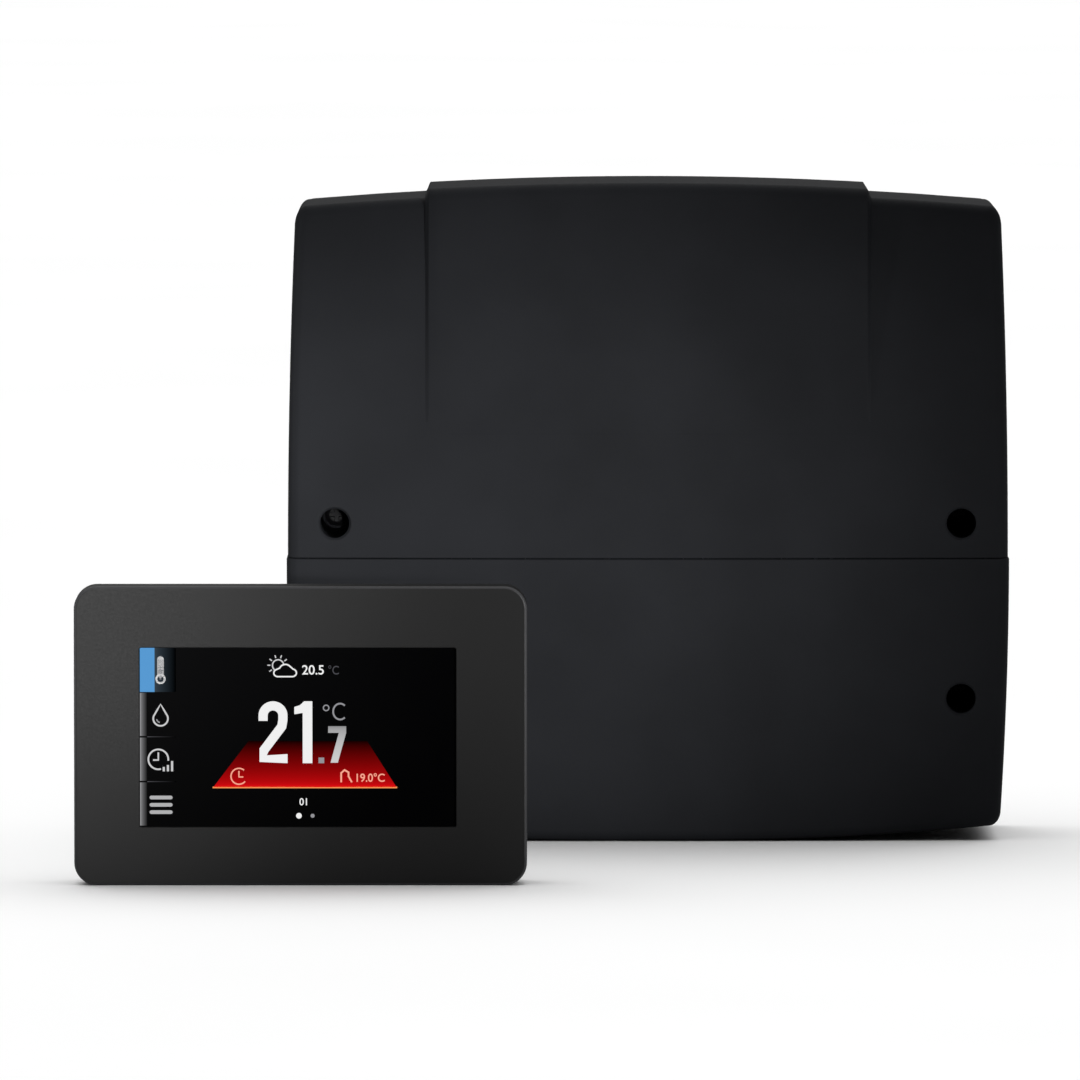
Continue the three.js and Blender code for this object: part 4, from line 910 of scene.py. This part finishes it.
def bar(x0, z0, x1, z1, width):
    """A straight stroke with round ends."""
    along = math.atan2(z1 - z0, x1 - x0)
    half = width / 2
    ends = [(x1, z1, along - math.pi / 2), (x0, z0, along + math.pi / 2)]
    return [
        (x + half * math.cos(start + turn), z + half * math.sin(start + turn))
        for x, z, start in ends
        for turn in between(0, math.pi, 8)
    ]


def box_shape(x0, x1, z0, z1):
    return [(x0, z0), (x1, z0), (x1, z1), (x0, z1)]


def offset(points, amount, closed=False):
    """The line through points, moved sideways by an amount, with mitred turns."""
    moved = []
    for i, (x, z) in enumerate(points):
        sides = []
        for a, b in ((i - 1, i), (i, i + 1)):
            if closed or (a >= 0 and b < len(points)):
                (x0, z0), (x1, z1) = points[a % len(points)], points[b % len(points)]
                length = math.hypot(x1 - x0, z1 - z0)
                sides.append(((z0 - z1) / length, (x1 - x0) / length))
        nx, nz = (sum(side[k] for side in sides) / len(sides) for k in (0, 1))
        reach = min(amount / (nx * nx + nz * nz), 1.6 * amount, key=abs)
        moved.append((x + nx * reach, z + nz * reach))
    return moved


def stroke(points, width):
    return offset(points, width / 2) + offset(points, -width / 2)[::-1]


def outline(points, width):
    return [offset(points, width / 2, True), offset(points, -width / 2, True)]


def arc(x, z, radius_x, radius_z, start, end, steps=16):
    turns = between(math.radians(start), math.radians(end), steps)
    return [(x + radius_x * math.cos(turn), z + radius_z * math.sin(turn)) for turn in turns]


def draw_tabs():
    """The strip at the left: temperature, humidity, timer and menu, with the first one chosen."""
    blue = lit("ui_blue", (0.10, 0.33, 0.66))
    drawing("ui_tab_active", [box_shape(-SCREEN_X, TAB_LEFT, TAB_LINES[0], SCREEN_Z)], blue)
    fade = lit("ui_fade", (0.05, 0.07, 0.09), edge=(0, 0, 0), start=-0.043, end=-0.0366)
    drawing("ui_tab_glow", [box_shape(TAB_LEFT, TABS_RIGHT, TAB_LINES[0], SCREEN_Z)], fade)
    side = lit("ui_side", (0.30, 0.30, 0.31), edge=(0, 0, 0), start=-0.0472, end=-0.0452)
    for i, (top, low) in enumerate(zip(TAB_LINES, [*TAB_LINES[1:], -SCREEN_Z])):
        drawing(f"ui_side_line_{i + 1}", [box_shape(-SCREEN_X, -45.2, low + 0.25, top - 0.25)], side)
    line = lit("ui_line", (0.09, 0.09, 0.1), edge=(0, 0, 0), start=-0.045, end=-0.0366)
    drawing("ui_tab_lines", [box_shape(-45.2, TABS_RIGHT, z - 0.12, z + 0.12) for z in TAB_LINES[1:]], line)

    x = TAB_MIDDLE
    drawing("ui_thermometer", [bar(x, 18.9, x, 23.4, 2.0)], soft_white)
    drawing("ui_thermometer_bulb", ring_shape(x, 17.5, 1.55, 0.6), white)
    drawing("ui_thermometer_level", [bar(x, 17.5, x, 20.2, 0.6)], grey)
    sides = arc(x, 5.6, 2.2, 2.2, -200, 20, 24)
    drawing("ui_drop", outline([*sides, (x + 1.0, 8.2), (x, 9.9), (x - 1.0, 8.2)], 0.5), soft_white)
    drawing("ui_drop_shine", [stroke(arc(x, 5.6, 1.2, 1.2, 190, 260, 8), 0.4)], grey)
    x -= 0.7
    drawing("ui_clock", [stroke(arc(x, -6.7, 3.0, 3.0, -8, 285, 30), 0.5)], soft_white)
    drawing("ui_clock_hands", [stroke([(x, -4.6), (x, -6.9), (x - 1.6, -6.9)], 0.5)], soft_white)
    tops = (-9.0, -8.4, -7.2)
    bars = [box_shape(x + 1.3 + i * 1.25, x + 1.95 + i * 1.25, -10.3, top) for i, top in enumerate(tops)]
    drawing("ui_bars", bars, soft_white)
    drawing("ui_menu", [bar(-44.0, z, -38.2, z, 1.1) for z in (-18.2, -20.4, -22.6)], grey_light)


def draw_outside():
    """The weather and the temperature outside."""
    x, z = -5.9, 21.6
    rays = []
    for turn in between(math.radians(35), math.radians(215), 5):
        ray = [(x + reach * math.cos(turn), z + reach * math.sin(turn)) for reach in (2.3, 3.2)]
        rays.append(stroke(ray, 0.35))
    drawing("ui_sun", [*rays, stroke(arc(x, z, 1.7, 1.7, 15, 235), 0.4)], soft_white)
    puffs = [
        *arc(-6.0, 19.3, 1.2, 1.1, 262, 120, 8),
        *arc(-3.7, 20.0, 1.9, 1.9, 155, 40, 10),
        *arc(-1.7, 19.35, 1.3, 1.15, 75, -80, 10),
    ]
    drawing("ui_cloud", outline(puffs[::-1], 0.42), white)
    words("ui_outside", "20.5", 1.2, 18.9, 2.9, white, 1.0, 0.04)
    words("ui_outside_unit", "°C", 9.0, 18.9, 2.7, dim, 0.85)


def draw_inside():
    """The room temperature in big digits."""
    left, right, foot, top, wide = -11.8, -3.1, -7.85, 10.8, 2.75
    middle, bowl = (left + right) / 2, (right - left - wide) / 2
    two = [
        (left + wide / 2, 4.9),
        *arc(middle, top - 4.3, bowl, 4.3 - wide / 2, 180, 0, 20),
        (right - wide / 2, 5.2),
        (right - wide / 2 - 0.35, 3.2),
        (left + wide / 2 + 0.25, -3.9),
        (left + wide / 2, foot + wide / 2),
        (right, foot + wide / 2),
    ]
    one = [(1.45, foot), (4.35, foot), (4.35, top), (1.9, top)]
    one += [(0.6, 9.6), (-1.05, 9.1), (-1.05, 6.9), (1.45, 7.3)]
    seven = [(9.1, 3.3), (14.5, 3.3), (14.5, 1.3), (12.0, -7.7), (9.8, -7.7), (12.3, 1.3), (9.1, 1.3)]
    fade = lit("ui_seven", (0.22, 0.22, 0.23), edge=(0.62, 0.62, 0.62), axis=1, start=0.0033, end=-0.0077)
    pieces = [
        drawing("ui_two", [stroke(two, wide)], white),
        drawing("ui_one", [one], white),
        drawing("ui_point", [box_shape(6.2, 7.9, foot, foot + 1.7)], grey),
        drawing("ui_seven", [seven], fade),
    ]
    for piece in pieces:
        piece.location.y -= UI_LIFT
    drawing("ui_degree", ring_shape(8.5, 8.8, 1.0, 0.35), grey)
    drawing("ui_celsius", [stroke(arc(12.7, 7.7, 2.1, 2.4, 48, 312, 20), 0.5)], grey)


def draw_floor_heat():
    """The warm floor, with its timer and its temperature."""
    warm = lit("ui_warm", (0.72, 0.004, 0.006), edge=(0, 0, 0), axis=1, start=-0.0146, end=-0.0009)
    drawing("ui_floor", [[(-25.4, -15.1), (29.6, -15.1), (20.8, -1.2), (-14.8, -1.2)]], warm)
    orange = lit("ui_orange", (1.0, 0.33, 0.10))
    drawing("ui_floor_edge", [box_shape(-25.6, 29.8, -15.4, -14.9)], orange)
    peach = lit("ui_peach", (1.0, 0.42, 0.30))
    hook = [(13.0, -13.6), (13.0, -10.8), (14.0, -9.9), (15.2, -10.6), (15.2, -11.8), (16.2, -13.6)]
    pieces = [
        drawing("ui_timer", [stroke(arc(-17.7, -11.8, 2.4, 2.4, 50, 320, 24), 0.4)], peach),
        drawing("ui_timer_hands", [stroke([(-17.7, -10.2), (-17.7, -12.0), (-16.4, -12.0)], 0.4)], peach),
        drawing("ui_heating_sign", [stroke(hook, 0.5)], peach),
        words("ui_floor_value", "19.0°C", 17.0, -13.4, 2.5, peach, 0.95, 0.04),
    ]
    for piece in pieces:
        piece.location.y -= UI_LIFT


draw_tabs()
draw_outside()
draw_inside()
draw_floor_heat()
words("ui_zone", "01", 0.4, -20.5, 2.2, white, 0.95, 0.03)
drawing("ui_page", [disc(0.3, -23.7, 0.85)], white)
drawing("ui_page_next", [disc(4.4, -23.7, 0.6)], grey)


# ---- pieces carried over from the CAD model
SOFT_EDGES = {"module_base": 0.00035, "touch_glass": 0.00015, "panel_back": 0.0003, "wall_plate": 0.0003}
for name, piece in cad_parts.items():
    if name not in ("upper_cover", "terminal_cover", "panel_bezel"):
        soften(piece, SOFT_EDGES.get(name, 0.00018))


# ---- small parts on the boards
def boxes_piece(name, boxes, material, body):
    """One piece of many small boxes with bevelled edges."""
    mesh = bmesh.new()
    for x0, x1, y0, y1, z0, z1 in boxes:
        corners = [mesh.verts.new((x, y, z)) for x in (x0, x1) for y in (y0, y1) for z in (z0, z1)]
        for face in ((0, 1, 3, 2), (4, 6, 7, 5), (0, 4, 5, 1), (2, 3, 7, 6), (0, 2, 6, 4), (1, 5, 7, 3)):
            mesh.faces.new([corners[i] for i in face])
    bmesh.ops.recalc_face_normals(mesh, faces=mesh.faces)
    bmesh.ops.bevel(mesh, geom=mesh.edges[:], offset=0.00008, segments=1, affect="EDGES", clamp_overlap=True)
    data = bpy.data.meshes.new(name)
    mesh.to_mesh(data)
    mesh.free()
    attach(new_piece(name, data, material), body)


CHIP = 0
LAMP = 3
RESISTORS = (2, 5)
CAPACITORS = (6, 9)


def populate(board, body, cell=0.0062, edge=0.004):
    """Chips, resistors, capacitors and lamps on the free places of a board's front."""
    low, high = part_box(board)
    face_y = low.y
    taken = []
    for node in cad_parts:
        a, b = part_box(node)
        in_front = a.y < face_y - 0.0001 and b.y > face_y - 0.004
        if in_front and node not in (board, "module_base", "upper_cover", "terminal_cover"):
            taken.append((a.x - 0.0008, b.x + 0.0008, a.z - 0.0008, b.z + 0.0008))

    def is_free(x, z, half_x, half_z):
        x0, x1, z0, z1 = x - half_x, x + half_x, z - half_z, z + half_z
        if x0 < low.x + edge or x1 > high.x - edge or z0 < low.z + edge or z1 > high.z - edge:
            return False
        return all(x1 < t[0] or x0 > t[1] or z1 < t[2] or z0 > t[3] for t in taken)

    def lump(x, z, half_x, half_z, front, back=0.00001):
        """A box about (x, z) that stands off the board by front and reaches back into it by back."""
        return (x - half_x, x + half_x, face_y - front, face_y + back, z - half_z, z + half_z)

    bodies, leads, ceramics, lamps = [], [], [], []
    for i in range(int((high.x - low.x) / cell)):
        for j in range(int((high.z - low.z) / cell)):
            x = low.x + (i + 0.5) * cell
            z = low.z + (j + 0.5) * cell
            kind = (i * 7 + j * 5 + (i * j) % 3) % 11
            if kind == CHIP and is_free(x, z, 0.003, 0.0045):
                taken.append((x - 0.004, x + 0.004, z - 0.0055, z + 0.0055))
                bodies.append(lump(x, z, 0.0019, 0.0025, 0.0016, -0.00015))
                leads += [lump(x, z - 0.0019 + k * 0.00127, 0.003, 0.0002, 0.0006) for k in range(4)]
            elif kind in RESISTORS + CAPACITORS and is_free(x, z, 0.0014, 0.0009):
                flat = kind in RESISTORS
                wide, tall, deep = (0.0008, 0.00063, 0.00045) if flat else (0.001, 0.00062, 0.0009)
                (bodies if flat else ceramics).append(lump(x, z, wide, tall, deep, -0.00002))
                cap = lump(x, z, wide, tall + 0.00004, deep + 0.00003)
                for side in (-1, 1):
                    ends = sorted((x + side * wide * 0.72, x + side * (wide + 0.00012)))
                    leads.append((*ends, *cap[2:]))
            elif kind == LAMP and j % 3 == 0 and is_free(x, z, 0.0014, 0.0009):
                lamps.append(lump(x, z, 0.0008, 0.0006, 0.0008))
    made = (("chips", bodies, block_black), ("leads", leads, tinned), ("ceramics", ceramics, ceramic))
    for name, boxes, material in (*made, ("lamps", lamps, lamp_white)):
        if boxes:
            boxes_piece(f"{board}_{name}", boxes, material, body)


populate("main_board", "module")
populate("logic_board", "module", 0.0052, 0.0025)


# ---- floor and light
SKY_TOP = (0, 0.3, 0.954)  # the brightest direction, high and a little behind the object
SKY_FALL = 3.0
SKY_DARK = 0.05
SKY_BRIGHT = 2.76
SPOT_DISTANCE = 4.2
SPOT_SIZE = 0.06
FLOOR_REACH = 30


def make_stage():
    """The pale floor; gives back the collection that keeps the spots off it."""
    floor_data = bpy.data.meshes.new("floor")
    turns = ((-1, -1), (1, -1), (1, 1), (-1, 1))
    corners = [(x * FLOOR_REACH, y * FLOOR_REACH, 0) for x, y in turns]
    floor_data.from_pydata(corners, [], [(0, 1, 2, 3)])
    floor = new_piece("floor", floor_data)
    material, nodes, links, shader = new_material("floor_white")
    cloud = noise(nodes, links, 3.0, 2.0)
    links.new(ramp(nodes, links, cloud, (0.93, 0.93, 0.93), (0.95, 0.95, 0.95)), shader.inputs["Base Color"])
    shader.inputs["Roughness"].default_value = 0.9
    shader.inputs["Specular IOR Level"].default_value = 0.1
    floor_data.materials.append(material)
    apart = bpy.data.collections.new("not lit by the spots")
    apart.objects.link(floor)
    apart.collection_objects[0].light_linking.link_state = "EXCLUDE"
    return apart


def soft_spot(apart, name, aim, turn, lift, reach, power):
    """A soft spot of light round aim, that comes from turn degrees to the right and lift degrees up."""
    turn, lift = math.radians(turn), math.radians(lift)
    back = Vector((math.sin(turn) * math.cos(lift), -math.cos(turn) * math.cos(lift), math.sin(lift)))
    data = bpy.data.lights.new(name, "SPOT")
    data.energy = power
    data.shadow_soft_size = SPOT_SIZE
    data.spot_blend = 1.0
    data.spot_size = 2 * math.atan(reach / SPOT_DISTANCE)
    light = bpy.data.objects.new(name, data)
    bpy.context.collection.objects.link(light)
    light.light_linking.receiver_collection = apart
    light.location = Vector(aim) + back * SPOT_DISTANCE
    light.rotation_euler = (-back).to_track_quat("-Z", "Y").to_euler()


def make_light(apart):
    """A soft sky, and three narrow spots that shade the fronts from left to right."""
    scene = bpy.context.scene
    world = bpy.data.worlds.new("studio")
    world.use_nodes = True
    scene.world = world
    nodes, links = world.node_tree.nodes, world.node_tree.links
    background = nodes["Background"]
    place = nodes.new("ShaderNodeTexCoord")
    tilt = nodes.new("ShaderNodeVectorMath")
    tilt.operation = "DOT_PRODUCT"
    tilt.inputs[1].default_value = SKY_TOP
    links.new(place.outputs["Generated"], tilt.inputs[0])
    level = nodes.new("ShaderNodeMath")
    level.operation = "MAXIMUM"
    level.inputs[1].default_value = 0.0
    links.new(tilt.outputs["Value"], level.inputs[0])
    curve = nodes.new("ShaderNodeMath")
    curve.operation = "POWER"
    curve.inputs[1].default_value = SKY_FALL
    links.new(level.outputs["Value"], curve.inputs[0])
    share = nodes.new("ShaderNodeMapRange")
    share.inputs["To Min"].default_value = SKY_DARK
    share.inputs["To Max"].default_value = SKY_BRIGHT
    links.new(curve.outputs["Value"], share.inputs["Value"])
    links.new(share.outputs["Result"], background.inputs["Strength"])
    background.inputs["Color"].default_value = (1, 1, 1, 1)
    soft_spot(apart, "module_spot", (MODULE_X - 0.062, lower_low.y, 0.09), 31, 6, 0.152, 1820)
    soft_spot(apart, "panel_spot", (bezel_low.x - 0.03, bezel_low.y, bezel_high.z + 0.01), 5, 3, 0.135, 2100)
    soft_spot(apart, "side_spot", (MODULE_X - 0.06, lower_low.y, 0.13), -75, 3, 0.15, 400)
    scene.view_settings.view_transform = "Standard"


make_light(make_stage())
